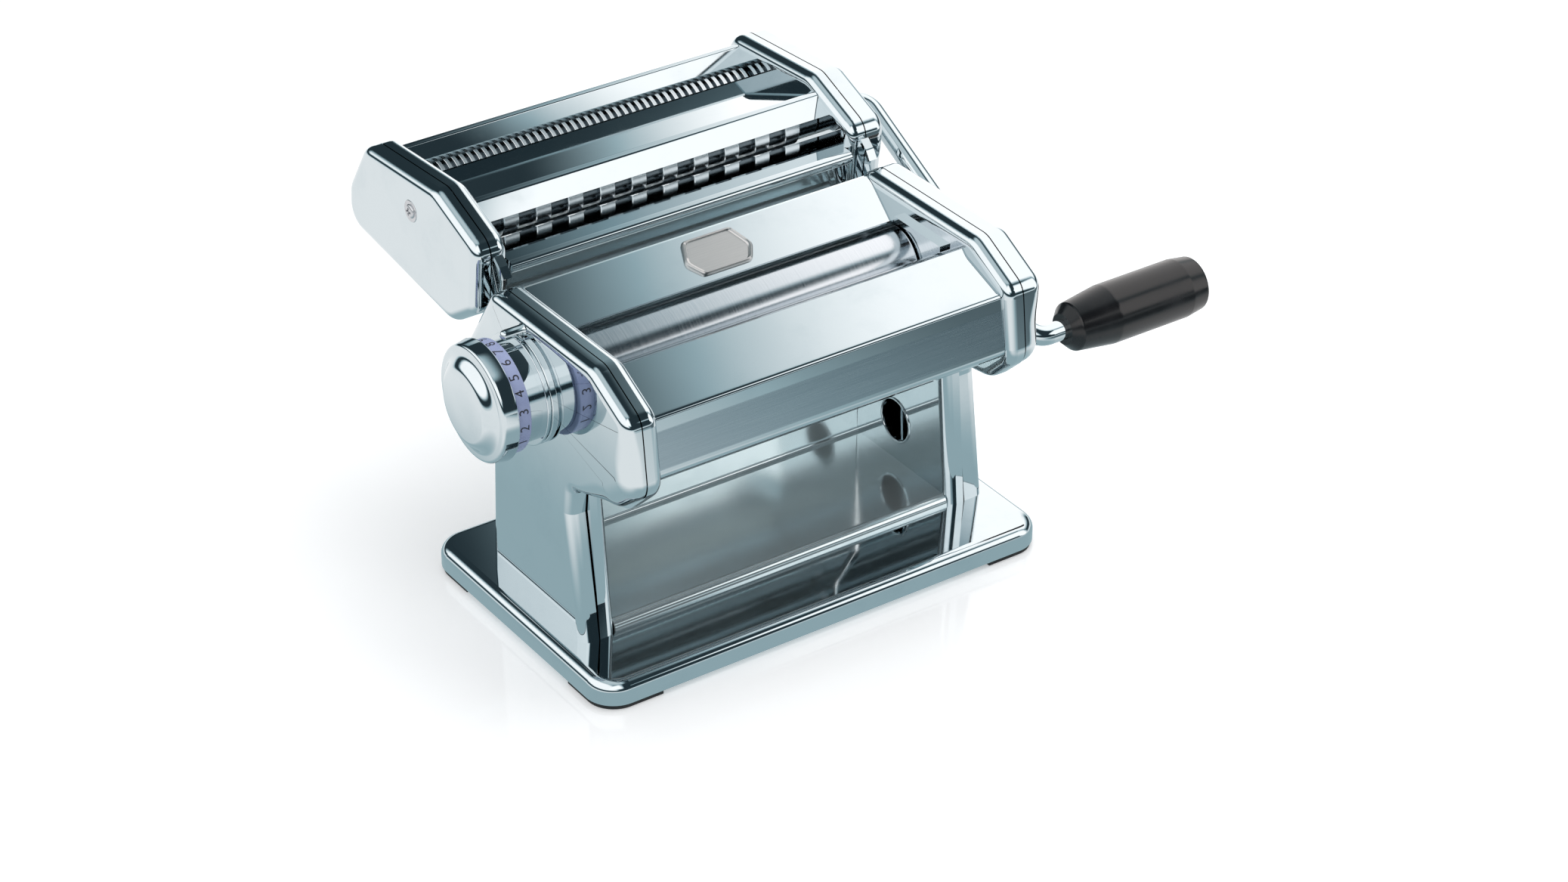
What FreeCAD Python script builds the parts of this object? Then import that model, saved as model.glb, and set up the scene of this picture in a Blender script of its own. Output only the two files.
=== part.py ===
import FreeCAD, Part
import math
import os

import Sketcher
from FreeCAD import Placement, Rotation, Vector

# Hand-cranked pasta roller with a lift-off cutter head, in millimetres.
# The origin is on the table below the middle of the base; +X runs along the rollers towards the crank,
# +Y from the front to the back, and +Z up.

# Driving dimensions
SIZES = {
    # base plate and feet
    "base_width": 200,
    "base_depth": 124,
    "base_height": 9,
    "base_corner": 12,
    "base_round": 4.5,
    "base_wall": 1.8,
    "foot_height": 2,
    "foot_size": 26,
    "foot_inset": 0.8,
    # side walls: a rimmed inner plate and an outer cover meet at a seam
    "inner_width": 151,
    "plate_depth": 7.2,
    "plate_wall": 1.2,
    "plate_rim": 1.8,
    "plate_round": 4,
    "seam_gap": 0.5,
    "dial_cover_depth": 6.8,
    "crank_cover_depth": 9.2,
    "cover_wall": 1.5,
    "cover_round": 4,
    # side outline: heights above the base, reaches in front of and behind the middle
    "leg_height": 52,
    "body_height": 69.5,
    "foot_front": 32.6,
    "foot_back": 32,
    "leg_front": 25.5,
    "leg_back": 29,
    "crest_back": 26,
    "crest_front": 42,
    "brow_reach": 64.5,
    "brow_drop": 11.5,
    "chin_reach": 67.8,
    "chin_drop": 41,
    "jaw_reach": 54,
    "jaw_rise": 17.5,
    "plate_jaw_drop": 2,
    "throat_reach": 27,
    "throat_rise": 11.5,
    "back_reach": 44,
    "back_low": 25,
    "back_high": 41,
    # sheet-metal panels between the plates
    "sheet": 0.9,
    "floor_rise": 4,
    "rim_reveal": 3.2,
    "feed_front": 38.5,
    "feed_back": 2.4,
    "feed_drop": 10.8,
    "badge_width": 30,
    "badge_height": 17,
    "badge_depth": 1.8,
    "guide_width": 2.4,
    "guide_height": 2.4,
    "tie_radius": 3,
    "tie_inset": 8,
    "tie_drop": 7,
    "tie_behind_chin": 11,
    "window_radius": 8.7,
    "window_rise": 21.5,
    "window_back": 2.6,
    # smooth rollers
    "roller_radius": 14.4,
    "roller_rise": 41,
    "roller_back": 2.4,
    "roller_gap": 1.07,
    "gap_close": 0.47,
    "gap_open": 3.73,
    "end_play": 0.5,
    "journal_radius": 5,
    "bush_wall": 3,
    "running_fit": 0.05,
    "seat_fit": 0.02,
    "sweep_gap": 0.3,
    "carriage_depth": 3,
    "carriage_margin": 6,
    "yoke_rim": 3.5,
    "scraper_gap": 0.5,
    "scraper_width": 11,
    # gears and drive sockets at the crank side
    "gear_width": 5,
    "gear_teeth": 12,
    "gear_addendum": 2.2,
    "gear_dedendum": 2.9,
    "socket_wall": 2.95,
    "socket_reach": 2,
    "socket_floor": 1.5,
    "dog_width": 2.6,
    "dog_depth": 4,
    # thickness dial
    "collar_radius": 19.3,
    "collar_length": 9.7,
    "collar_lip": 2,
    "ring_radius": 21.4,
    "ring_length": 6,
    "knob_radius": 22.3,
    "knob_skirt": 23.2,
    "knob_length": 6.1,
    "crown_radius": 14.6,
    "crown_height": 3.8,
    "spindle_radius": 4,
    "cam_radius": 10,
    "cam_throw": 2.126,
    "cam_width": 3.5,
    "cam_slack": 0.5,
    "cam_swing": 63,
    "spring_wire": 1.6,
    "knob_wall": 1.8,
    "nub_radius": 3,
    # cutter head outline: reaches behind its front edge, heights above the crest of the body
    "cutter_overlap": 10,
    "cutter_depth": 96.6,
    "cutter_crown": 23.5,
    "cutter_crown_back": 29.5,
    "cutter_brow": 12,
    "cutter_rear_top": 20,
    "cutter_rear_back": 81.4,
    "cutter_rear_low": 17.9,
    "cutter_shoulder_back": 95.1,
    "cutter_shoulder_drop": 1.5,
    "cutter_belly": 27.5,
    "cutter_belly_back": 20.8,
    "cutter_chin": 16,
    "cutter_chin_back": 3.5,
    # cutting rollers
    "cut_radius": 9,
    "cut_overlap": 1.2,
    "cut_core": 7.2,
    "cut_journal": 4,
    "cut_bush_wall": 2,
    "cut_socket_wall": 1.5,
    "wide_back": 29,
    "wide_rise": 7,
    "wide_tilt": 56,
    "wide_pitch": 13.9,
    "wide_ring": 6.6,
    "thin_back": 73,
    "thin_rise": 0.9,
    "thin_tilt": 30,
    "cut_teeth": 10,
    "cut_addendum": 1.45,
    "cut_dedendum": 1.95,
    "comb_gap": 0.5,
    "comb_length": 4.5,
    "bead_radius": 2.6,
    "guide_ridge_front": 5.6,
    "guide_ridge_rise": 2.4,
    "guide_rear_front": 8.6,
    "guide_rear_rise": 8.2,
    "hook_width": 3.5,
    "hook_wall": 1.6,
    "hook_rise": 8,
    "hook_reach": 7,
    "hook_knee": 4.6,
    "ear_width": 3,
    "ear_drop": 14,
    "ear_neck": 5,
    "ear_inset": 6,
    "rail_radius": 2.5,
    "rail_back": 7.5,
    "rail_drop": 15.5,
    "screw_radius": 3.2,
    "screw_head": 1.2,
    "screw_front": 12,
    "screw_rise": 8,
    # crank and grip
    "rod_radius": 4,
    "arm_length": 123.8,
    "arm_angle": 26.8,
    "arm_clear": 9.6,
    "bend_radius": 7.5,
    "grip_gap": 6.5,
    "grip_length": 63.5,
    "grip_radius": 11.8,
    "grip_neck": 9.6,
    "grip_mouth": 6.2,
    "grip_end_radius": 10.6,
    "grip_end_taper": 8.4,
    "grip_taper": 20,
    "cap_depth": 2.6,
    "cap_radius": 6.2,
}

# Places worked out from the driving dimensions
PLACES = {
    "base_top": "=foot_height + base_height",
    "crease": "=base_top + leg_height",
    "crest": "=crease + body_height",
    "wall": "=inner_width / 2",
    "seam": "=wall + plate_depth",
    "cover_start": "=seam + seam_gap",
    "face": "=cover_start + dial_cover_depth",
    "crank_face": "=cover_start + crank_cover_depth",
    "gap_y": "=roller_back",
    "roller_z": "=crease + roller_rise",
    "drive_y": "=gap_y - 2 * roller_radius - roller_gap",
    "bush_length": "=plate_wall + sweep_gap + carriage_depth",
    "socket_start": "=wall + bush_length",
    "gear_start": "=socket_start + sweep_gap",
    "gear_end": "=gear_start + gear_width",
    "socket_bore": "=rod_radius + running_fit",
    "socket_end": "=crank_face + socket_reach",
    "collar_end": "=face + collar_length",
    "ring_start": "=collar_end + sweep_gap",
    "knob_start": "=ring_start + ring_length",
    "cutter_y": "=back_reach - cutter_overlap",
    "wide_y": "=cutter_y + wide_back",
    "wide_z": "=crest + wide_rise",
    "thin_y": "=cutter_y + thin_back",
    "thin_z": "=crest + thin_rise",
    "cut_spacing": "=2 * cut_radius - cut_overlap",
    "wide_low_y": "=wide_y - cut_spacing * cos(wide_tilt * 1deg)",
    "wide_low_z": "=wide_z - cut_spacing * sin(wide_tilt * 1deg)",
    "thin_low_y": "=thin_y - cut_spacing * cos(thin_tilt * 1deg)",
    "thin_low_z": "=thin_z - cut_spacing * sin(thin_tilt * 1deg)",
    "arm_plane": "=crank_face + arm_clear",
    "grip_y": "=wide_y - arm_length * cos(arm_angle * 1deg)",
    "grip_z": "=wide_z - arm_length * sin(arm_angle * 1deg)",
    "grip_start": "=arm_plane + bend_radius + grip_gap",
}

doc = FreeCAD.newDocument("pasta_roller")
sheet = doc.addObject("Spreadsheet::Sheet", "Dims")
for row, (alias, value) in enumerate({**SIZES, **PLACES}.items(), start=1):
    sheet.set(f"A{row}", alias)
    sheet.set(f"B{row}", str(value))
    sheet.setAlias(f"B{row}", alias)
doc.recompute()

pieces = []


def dim(alias):
    """Value of one cell of the sheet."""
    return float(sheet.get(alias))


# Outlines

def arc(start, end, centre):
    """Arc of under half a turn between two points, drawn counter-clockwise as sketches need."""
    first = math.atan2(start.y - centre.y, start.x - centre.x)
    last = math.atan2(end.y - centre.y, end.x - centre.x)
    turn = (last - first) % (2 * math.pi)
    if turn > math.pi:
        first, turn = last, 2 * math.pi - turn
    circle = Part.Circle(centre, Vector(0, 0, 1), (start - centre).Length)
    return Part.ArcOfCircle(circle, first, first + turn)


def outline(corners):
    """Closed run of straight lines through (x, y, radius) corners, rounded by tangent arcs."""
    curves = []
    entries = []
    exits = []
    for index, (x, y, radius) in enumerate(corners):
        here = Vector(x, y, 0)
        back = (Vector(*corners[index - 1][:2], 0) - here).normalize()
        ahead = (Vector(*corners[(index + 1) % len(corners)][:2], 0) - here).normalize()
        half = back.getAngle(ahead) / 2
        reach = radius / math.tan(half)
        entries.append(here + back * reach)
        exits.append(here + ahead * reach)
        if radius > 0:
            centre = here + (back + ahead).normalize() * (radius / math.sin(half))
            curves.append(arc(entries[-1], exits[-1], centre))
    for index, start in enumerate(exits):
        end = entries[(index + 1) % len(entries)]
        if (end - start).Length > 1e-6:
            curves.append(Part.LineSegment(start, end))
    return curves


def shifted(corners, distance, closed=True):
    """Corners moved to the left of the direction of travel, with radii that keep the wall even."""
    moved = []
    count = len(corners)
    for index, (x, y, radius) in enumerate(corners):
        here = Vector(x, y, 0)
        normals = []
        if closed or index > 0:
            run = here - Vector(*corners[index - 1][:2], 0)
            normals.append(Vector(-run.y, run.x, 0).normalize())
        if closed or index < count - 1:
            run = Vector(*corners[(index + 1) % count][:2], 0) - here
            normals.append(Vector(-run.y, run.x, 0).normalize())
        first, last = normals[0], normals[-1]
        step = (first + last) * (distance / (1 + first.dot(last)))
        turns_left = first.cross(last).z > 0
        change = -distance if turns_left else distance
        moved.append((x + step.x, y + step.y, max(radius + change, 0) if radius > 0 else 0))
    return moved


def inset(corners, wall):
    """A closed outline moved inwards by a wall."""
    area = sum(a[0] * b[1] - b[0] * a[1] for a, b in zip(corners, corners[1:] + corners[:1]))
    return shifted(corners, wall if area > 0 else -wall)


def strip(path, thickness):
    """Outline of a bent sheet that follows an open path, thickened to the left of its travel."""
    return outline(path + shifted(path, thickness, closed=False)[::-1])


def ring(x, y, outer, inner):
    """Two concentric circles."""
    centre = Vector(x, y, 0)
    axis = Vector(0, 0, 1)
    return [Part.Circle(centre, axis, outer), Part.Circle(centre, axis, inner)]


def disc(x, y, radius):
    """One circle."""
    return [Part.Circle(Vector(x, y, 0), Vector(0, 0, 1), radius)]


def gear_outline(x, y, teeth, pitch, addendum, dedendum, phase):
    """Outline of a gear with straight-flanked teeth, the first one centred on the phase angle."""
    step = 2 * math.pi / teeth
    root, tip = pitch - dedendum, pitch + addendum
    corners = []
    for tooth in range(teeth):
        middle = phase + tooth * step
        for radius, share in ((root, -0.29), (tip, -0.085), (tip, 0.085), (root, 0.29)):
            angle = middle + share * step
            corners.append((x + radius * math.cos(angle), y + radius * math.sin(angle), 0))
    return outline(corners)


# Features

def new_body(label):
    """Empty body for one named piece."""
    body = doc.addObject("PartDesign::Body", label)
    body.Label = label
    body.AllowCompound = True
    pieces.append(body)
    return body


def sketch(body, role, curves, offset="0 mm"):
    """Sketch on one of the body's own planes, moved along the plane's normal by an expression."""
    base_plane = next(item for item in body.Origin.OriginFeatures if item.Role == role)
    profile = body.newObject("Sketcher::SketchObject", f"{body.Name}_sketch")
    profile.AttachmentSupport = [(base_plane, "")]
    profile.MapMode = "FlatFace"
    profile.setExpression("AttachmentOffset.Base.z", offset)
    profile.addGeometry(curves, False)
    return profile


def pad(body, profile, length, toward=1):
    """Raise a sketch along its plane's normal, or against it."""
    feature = body.newObject("PartDesign::Pad", f"{body.Name}_pad")
    feature.Profile = profile
    feature.setExpression("Length", length)
    feature.Reversed = toward < 0
    return feature


def cut(body, profile, length, toward=1):
    """Sink a sketch along its plane's normal, or against it, and make sure that it removes material."""
    before = solid_volume(body)
    feature = body.newObject("PartDesign::Pocket", f"{body.Name}_pocket")
    feature.Profile = profile
    feature.setExpression("Length", length)
    feature.Reversed = toward > 0
    doc.recompute()
    if solid_volume(body) > before - 1e-6:
        raise RuntimeError(f"{feature.Name} cuts nothing")
    return feature


def solid_volume(body):
    """Volume of the body as it stands."""
    doc.recompute()
    return body.Shape.Volume


def edges_on(feature, axis, value, leave=None):
    """Names of the edges in the plane axis = value, but for those also in the plane to leave."""
    doc.recompute()

    def lies_on(box, plane_axis, place):
        low = (box.XMin, box.YMin, box.ZMin)[plane_axis]
        high = (box.XMax, box.YMax, box.ZMax)[plane_axis]
        return abs(low - place) < 1e-3 and abs(high - place) < 1e-3

    names = []
    for number, edge in enumerate(feature.Shape.Edges, start=1):
        if lies_on(edge.BoundBox, axis, value) and not (leave and lies_on(edge.BoundBox, *leave)):
            names.append(f"Edge{number}")
    return names


def fillet(body, feature, edges, radius):
    """Round the named edges."""
    rounding = body.newObject("PartDesign::Fillet", f"{body.Name}_fillet")
    rounding.Base = (feature, edges)
    rounding.setExpression("Radius", radius)
    return rounding


def turned(label, corners, y="0 mm", z="0 mm"):
    """Piece of revolution about an X-parallel axis, from (x, radius, fillet) corners."""
    body = new_body(label)
    profile = sketch(body, "XY_Plane", outline(corners))
    feature = body.newObject("PartDesign::Revolution", f"{label}_turn")
    feature.Profile = profile
    feature.ReferenceAxis = (profile, ["H_Axis"])
    feature.Angle = 360
    body.setExpression("Placement.Base.y", y)
    body.setExpression("Placement.Base.z", z)
    return body


def panel(label, path, thickness):
    """Bent sheet that spans the space between the inner plates."""
    body = new_body(label)
    profile = sketch(body, "YZ_Plane", strip(path, thickness), "-Dims.wall")
    pad(body, profile, "Dims.inner_width")
    return body


def cross_rods(label, places, radius):
    """Round rods between the inner plates, at (y, z) places."""
    body = new_body(label)
    curves = [curve for y, z in places for curve in disc(y, z, radius)]
    pad(body, sketch(body, "YZ_Plane", curves, "-Dims.wall"), "Dims.inner_width")
    return body


# Values that many pieces share

base_top, crease, crest = dim("base_top"), dim("crease"), dim("crest")
wall, seam = dim("wall"), dim("seam")
face, crank_face = dim("face"), dim("crank_face")
gap_y, drive_y, roller_z = dim("gap_y"), dim("drive_y"), dim("roller_z")
wide_y, wide_z = dim("wide_y"), dim("wide_z")
thin_y, thin_z = dim("thin_y"), dim("thin_z")
wide_low_y, wide_low_z = dim("wide_low_y"), dim("wide_low_z")
thin_low_y, thin_low_z = dim("thin_low_y"), dim("thin_low_z")
sheet_wall = dim("sheet")
journal = dim("journal_radius")
running, seat, sweep = dim("running_fit"), dim("seat_fit"), dim("sweep_gap")
SIDES = (("left", -1), ("right", 1))
FACES = {-1: "-Dims.face", 1: "Dims.crank_face"}
CUTTER_AXES = ((wide_y, wide_z), (wide_low_y, wide_low_z), (thin_y, thin_z), (thin_low_y, thin_low_z))

# Side outline of the body, from the back of the crest forwards and round to the back
upper_front = [
    (dim("crest_back"), crest - 1, 6),
    (-dim("crest_front"), crest, 10),
    (-dim("brow_reach"), crest - dim("brow_drop"), 8),
    (-dim("chin_reach"), crest - dim("chin_drop"), 10),
    (-dim("jaw_reach"), crease + dim("jaw_rise"), 12),
    (-dim("throat_reach"), crease + dim("throat_rise"), 3),
]
upper_back = [
    (dim("back_reach"), crease + dim("back_low"), 10),
    (dim("back_reach"), crease + dim("back_high"), 10),
]
leg_top = [(-dim("leg_front"), crease, 0), (dim("leg_back"), crease, 0)]
leg_foot = [(-dim("foot_front"), base_top, 0), (dim("foot_back"), base_top, 0)]
cover_outline = upper_front + leg_top + upper_back
leg_outline = [leg_top[1], leg_top[0], leg_foot[0], leg_foot[1]]
plate_jaw = (-dim("jaw_reach"), crease + dim("jaw_rise") - dim("plate_jaw_drop"), 12)
plate_front = upper_front[:4] + [plate_jaw] + upper_front[5:]
plate_outline = plate_front + leg_foot + [(*leg_top[1][:2], 8)] + upper_back

# Side outline of the cutter head
cutter_y = dim("cutter_y")
cutter_outline = [
    (cutter_y + dim("cutter_rear_back"), crest + dim("cutter_rear_top"), 8.7),
    (cutter_y + dim("cutter_crown_back"), crest + dim("cutter_crown"), 10),
    (cutter_y, crest + dim("cutter_brow"), 8),
    (cutter_y + dim("cutter_chin_back"), crest - dim("cutter_chin"), 7),
    (cutter_y + dim("cutter_belly_back"), crest - dim("cutter_belly"), 11.3),
    (cutter_y + dim("cutter_depth"), crest - dim("cutter_rear_low"), 10),
    (cutter_y + dim("cutter_shoulder_back"), crest - dim("cutter_shoulder_drop"), 12),
]


# Base

def make_base():
    """Drawn base plate, hollow below, and its corner feet."""
    half_x, half_y = dim("base_width") / 2, dim("base_depth") / 2
    corner = dim("base_corner")
    plan = [(half_x, half_y, corner), (-half_x, half_y, corner)]
    plan += [(-half_x, -half_y, corner), (half_x, -half_y, corner)]
    body = new_body("base_plate")
    block = pad(body, sketch(body, "XY_Plane", outline(plan), "Dims.foot_height"), "Dims.base_height")
    fillet(body, block, edges_on(block, 2, base_top), "Dims.base_round")
    hollow = sketch(body, "XY_Plane", outline(inset(plan, dim("base_wall"))), "Dims.foot_height")
    cut(body, hollow, "Dims.base_height - Dims.base_wall")

    feet = new_body("foot_pads")
    size = dim("foot_size")

    def corner_pads(edge):
        curves = []
        for side_x in (-1, 1):
            for side_y in (-1, 1):
                outer_x, outer_y = side_x * (half_x - edge), side_y * (half_y - edge)
                inner_x, inner_y = side_x * (half_x - size), side_y * (half_y - size)
                curves += outline([(inner_x, inner_y, 0), (outer_x, inner_y, 0),
                                   (outer_x, outer_y, corner - edge), (inner_x, outer_y, 0)])
        return curves

    pad(feet, sketch(feet, "XY_Plane", corner_pads(dim("foot_inset"))), "Dims.foot_height")
    plug = corner_pads(dim("base_wall") + sweep)
    pad(feet, sketch(feet, "XY_Plane", plug, "Dims.foot_height"), "Dims.base_height - Dims.base_wall")


# Side walls

def rimmed_plate(label, side, corners, foot=None):
    """Inner plate: a wall whose rim turns outwards to the seam, rounded along its inner edge."""
    body = new_body(label)
    sign = "" if side > 0 else "-"
    plan = sketch(body, "YZ_Plane", outline(corners), f"{sign}Dims.wall")
    block = pad(body, plan, "Dims.plate_depth", side)
    fillet(body, block, edges_on(block, 0, side * wall, foot), "Dims.plate_round")
    hollow = sketch(body, "YZ_Plane", outline(inset(corners, dim("plate_rim"))), f"{sign}Dims.seam")
    cut(body, hollow, "Dims.plate_depth - Dims.plate_wall", -side)
    return body


def drawn_cover(label, side, corners, flat=()):
    """Outer cover: a shallow tray with a rounded outer edge, open towards the seam."""
    body = new_body(label)
    sign = "" if side > 0 else "-"
    depth = "Dims.crank_cover_depth" if side > 0 else "Dims.dial_cover_depth"
    outer = crank_face if side > 0 else face
    rim = f"{sign}Dims.cover_start"
    block = pad(body, sketch(body, "YZ_Plane", outline(corners), rim), depth, side)
    names = set(edges_on(block, 0, side * outer))
    for place in flat:
        names &= set(edges_on(block, 0, side * outer, (2, place)))
    fillet(body, block, sorted(names), "Dims.cover_round")
    hollow = sketch(body, "YZ_Plane", outline(inset(corners, dim("cover_wall"))), rim)
    cut(body, hollow, f"{depth} - Dims.cover_wall", side)
    return body


def wall_holes(body, side, curves):
    """Holes through a plate's wall."""
    sign = "" if side > 0 else "-"
    cut(body, sketch(body, "YZ_Plane", curves, f"{sign}Dims.wall"), "Dims.plate_wall", side)


def cover_hole(body, side, curves):
    """Hole through a cover's face."""
    cut(body, sketch(body, "YZ_Plane", curves, FACES[side]), "Dims.cover_wall", -side)


def make_side_walls():
    """Inner plates, legs and outer covers of the body."""
    slot_half = journal + sweep
    slot = outline([
        (gap_y - dim("gap_close") - slot_half - sweep, roller_z - slot_half, 0),
        (gap_y + dim("gap_open") + slot_half + sweep, roller_z - slot_half, 0),
        (gap_y + dim("gap_open") + slot_half + sweep, roller_z + slot_half, 0),
        (gap_y - dim("gap_close") - slot_half - sweep, roller_z + slot_half, 0),
    ])
    bush_hole = disc(drive_y, roller_z, journal + dim("bush_wall") + seat)
    for name, side in SIDES:
        plate = rimmed_plate(f"{name}_plate", side, plate_outline, (2, base_top))
        wall_holes(plate, side, slot + bush_hole)
        if side > 0:
            window_z = base_top + dim("window_rise")
            wall_holes(plate, side, disc(dim("window_back"), window_z, dim("window_radius")))
        drawn_cover(f"{name}_leg", side, leg_outline, (crease, base_top))
        cover = drawn_cover(f"{name}_cover", side, cover_outline, (crease,))
        if side > 0:
            sleeve = dim("socket_bore") + dim("socket_wall")
            cover_hole(cover, side, disc(drive_y, roller_z, sleeve + sweep))
        else:
            cover_hole(cover, side, disc(gap_y, roller_z, dim("spindle_radius") + sweep))


# Panels between the side walls

def make_panels():
    """Bent sheets that close the body: floor, back, hopper and front, with guides and tie rods."""
    lip = -dim("foot_front") + 1
    back = dim("leg_back") - 1
    floor = base_top + dim("floor_rise")
    trough = [(back, crease, 0), (back, floor, 2), (lip, floor, 3.5), (lip, base_top, 0)]
    panel("floor_panel", trough, sheet_wall)
    rear = dim("back_reach") - 1
    top_back = (dim("crest_back") - 0.5, crest - 3, 0)
    panel("back_panel", [(back + 0.4, crease + 0.4, 0), (rear, crease + dim("back_low"), 8),
                         (rear, crease + dim("back_high"), 8), top_back], sheet_wall)
    hopper_top = (dim("crest_back") - 2, crest - 2.6, 0)
    hopper_low = (dim("feed_back"), crest - dim("feed_drop"), 0)
    panel("hopper_panel", [hopper_low, hopper_top], -sheet_wall)
    make_badge(hopper_low, hopper_top)

    reveal = dim("rim_reveal")
    brow = (-dim("brow_reach") + reveal, crest - dim("brow_drop") - reveal, 2.5)
    chin = (-dim("chin_reach") + reveal, crest - dim("chin_drop") + reveal, 3)
    curl = (chin[0] + 4.5, chin[1] - 4, 0)
    panel("front_panel", [(-dim("feed_front"), crest - 5, 0), brow, chin, curl], sheet_wall)

    guides = new_body("side_guides")
    low = crest - dim("feed_drop") - 1
    rail = [(dim("feed_back"), low, 0), (-dim("feed_front") + 12, low, 0)]
    rail += [(y, z + dim("guide_height"), r) for y, z, r in rail[::-1]]
    for sign, side in (("-", -1), ("", 1)):
        pad(guides, sketch(guides, "YZ_Plane", outline(rail), f"{sign}Dims.wall"), "Dims.guide_width", -side)

    front_tie = (chin[0] + dim("tie_behind_chin"), chin[1])
    back_tie = (rear - dim("tie_inset"), roller_z - dim("tie_drop"))
    cross_rods("tie_rods", [front_tie, back_tie], dim("tie_radius"))


def make_badge(low, top):
    """Blank six-sided badge that lies on the hopper panel."""
    half, tall = dim("badge_width") / 2, dim("badge_height") / 2
    badge = new_body("badge_plate")
    six = [(-half, -tall / 5, 1), (-half * 0.72, -tall, 1), (half * 0.72, -tall, 1),
           (half, -tall / 5, 1), (half * 0.72, tall, 1), (-half * 0.72, tall, 1)]
    block = pad(badge, sketch(badge, "XY_Plane", outline(six), "Dims.seat_fit"), "Dims.badge_depth")
    fillet(badge, block, edges_on(block, 2, dim("badge_depth") + seat), "Dims.badge_depth / 3")
    slope = math.degrees(math.atan2(top[1] - low[1], top[0] - low[0]))
    middle = Vector(0, (low[0] + top[0]) / 2, (low[1] + top[1]) / 2)
    badge.Placement = Placement(middle, Rotation(Vector(1, 0, 0), slope))


# Smooth rollers and their drive

def roller(label, y, z, barrel, journal_radius, right_end):
    """Roller turned in one piece: a journal in the left bush, the barrel, and a journal to the right."""
    left_end = dim("socket_start")
    low, high = barrel[0][0], barrel[-1][0]
    left_journal = [(-left_end, 0, 0), (-left_end, journal_radius, 0), (low, journal_radius, 0)]
    right_journal = [(high, journal_radius, 0), (right_end, journal_radius, 0), (right_end, 0, 0)]
    return turned(label, left_journal + barrel + right_journal, y, z)


def make_rollers():
    """Two smooth rollers with bushes, sliding carriages, gears, scrapers and a drive socket."""
    radius = dim("roller_radius")
    end = wall - dim("end_play")
    barrel = [(-end, radius, 1), (end, radius, 1)]
    roller("drive_roller", "Dims.drive_y", "Dims.roller_z", barrel, journal, dim("socket_start"))
    roller("gap_roller", "Dims.gap_y", "Dims.roller_z", barrel, journal, dim("gear_end"))

    bushes = new_body("drive_bushes")
    bush = ring(drive_y, roller_z, journal + dim("bush_wall"), journal + running)
    for sign, side in (("-", -1), ("", 1)):
        pad(bushes, sketch(bushes, "YZ_Plane", bush, f"{sign}Dims.wall"), "Dims.bush_length", side)

    block = journal + dim("carriage_margin")
    frame_y = dim("cam_radius") + dim("cam_slack")
    frame_z = frame_y + dim("cam_throw")
    yoke_y = gap_y - (dim("gap_open") - dim("gap_close")) / 2
    carriage = new_body("gap_carriages")
    for sign, side in (("-", -1), ("", 1)):
        plate = [(gap_y - block, roller_z - block, 2), (gap_y + block, roller_z - block, 2),
                 (gap_y + block, roller_z + block, 2), (gap_y - block, roller_z + block, 2)]
        curves = outline(plate) + disc(gap_y, roller_z, journal + running)
        start = f"{sign}(Dims.wall + Dims.plate_wall + Dims.sweep_gap)"
        pad(carriage, sketch(carriage, "YZ_Plane", curves, start), "Dims.carriage_depth", side)
        if side < 0:
            rim = dim("yoke_rim")
            outer = [(yoke_y - frame_y - rim, roller_z - frame_z - rim, 3),
                     (yoke_y + frame_y + rim, roller_z - frame_z - rim, 3),
                     (yoke_y + frame_y + rim, roller_z + frame_z + rim, 3),
                     (yoke_y - frame_y - rim, roller_z + frame_z + rim, 3)]
            yoke = outline(outer) + outline(inset(outer, rim))
            pad(carriage, sketch(carriage, "YZ_Plane", yoke, start), "Dims.carriage_depth", side)
            pad(carriage, sketch(carriage, "YZ_Plane", yoke, "-Dims.socket_start"),
                "Dims.cam_width + Dims.sweep_gap", side)

    pitch = radius + (dim("roller_gap") - dim("gap_close")) / 2
    sleeve = dim("socket_bore") + dim("socket_wall")
    gear_pair("drive_gear", "gap_gear", (drive_y, roller_z, sleeve), (gap_y, roller_z, journal), pitch,
              dim("gear_teeth"), dim("gear_addendum"), dim("gear_dedendum"))
    socket("drive_socket", "Dims.drive_y", "Dims.roller_z", sleeve)

    scrapers = new_body("roller_scrapers")
    edge = roller_z - radius - dim("scraper_gap")
    width = dim("scraper_width")
    front_blade = [(drive_y, edge, 0), (drive_y - width, edge - width / 3, 0)]
    back_blade = [(gap_y + width, edge - width / 3, 0), (gap_y, edge, 0)]
    blades = strip(front_blade, sheet_wall) + strip(back_blade, sheet_wall)
    pad(scrapers, sketch(scrapers, "YZ_Plane", blades, "-Dims.wall"), "Dims.inner_width")


def gear_pair(first, second, place, mate_place, pitch, teeth, addendum, dedendum):
    """Two equal gears in mesh at the crank side, at (y, z, bore) places."""
    teeth = round(teeth)
    angle = math.atan2(mate_place[1] - place[1], mate_place[0] - place[0])
    half_tooth = math.pi / teeth
    mate_phase = angle + math.pi + half_tooth
    for label, (y, z, bore), phase in ((first, place, angle), (second, mate_place, mate_phase)):
        body = new_body(label)
        curves = gear_outline(y, z, teeth, pitch, addendum, dedendum, phase) + disc(y, z, bore + seat)
        pad(body, sketch(body, "YZ_Plane", curves, "Dims.gear_start"), "Dims.gear_width")


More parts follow.
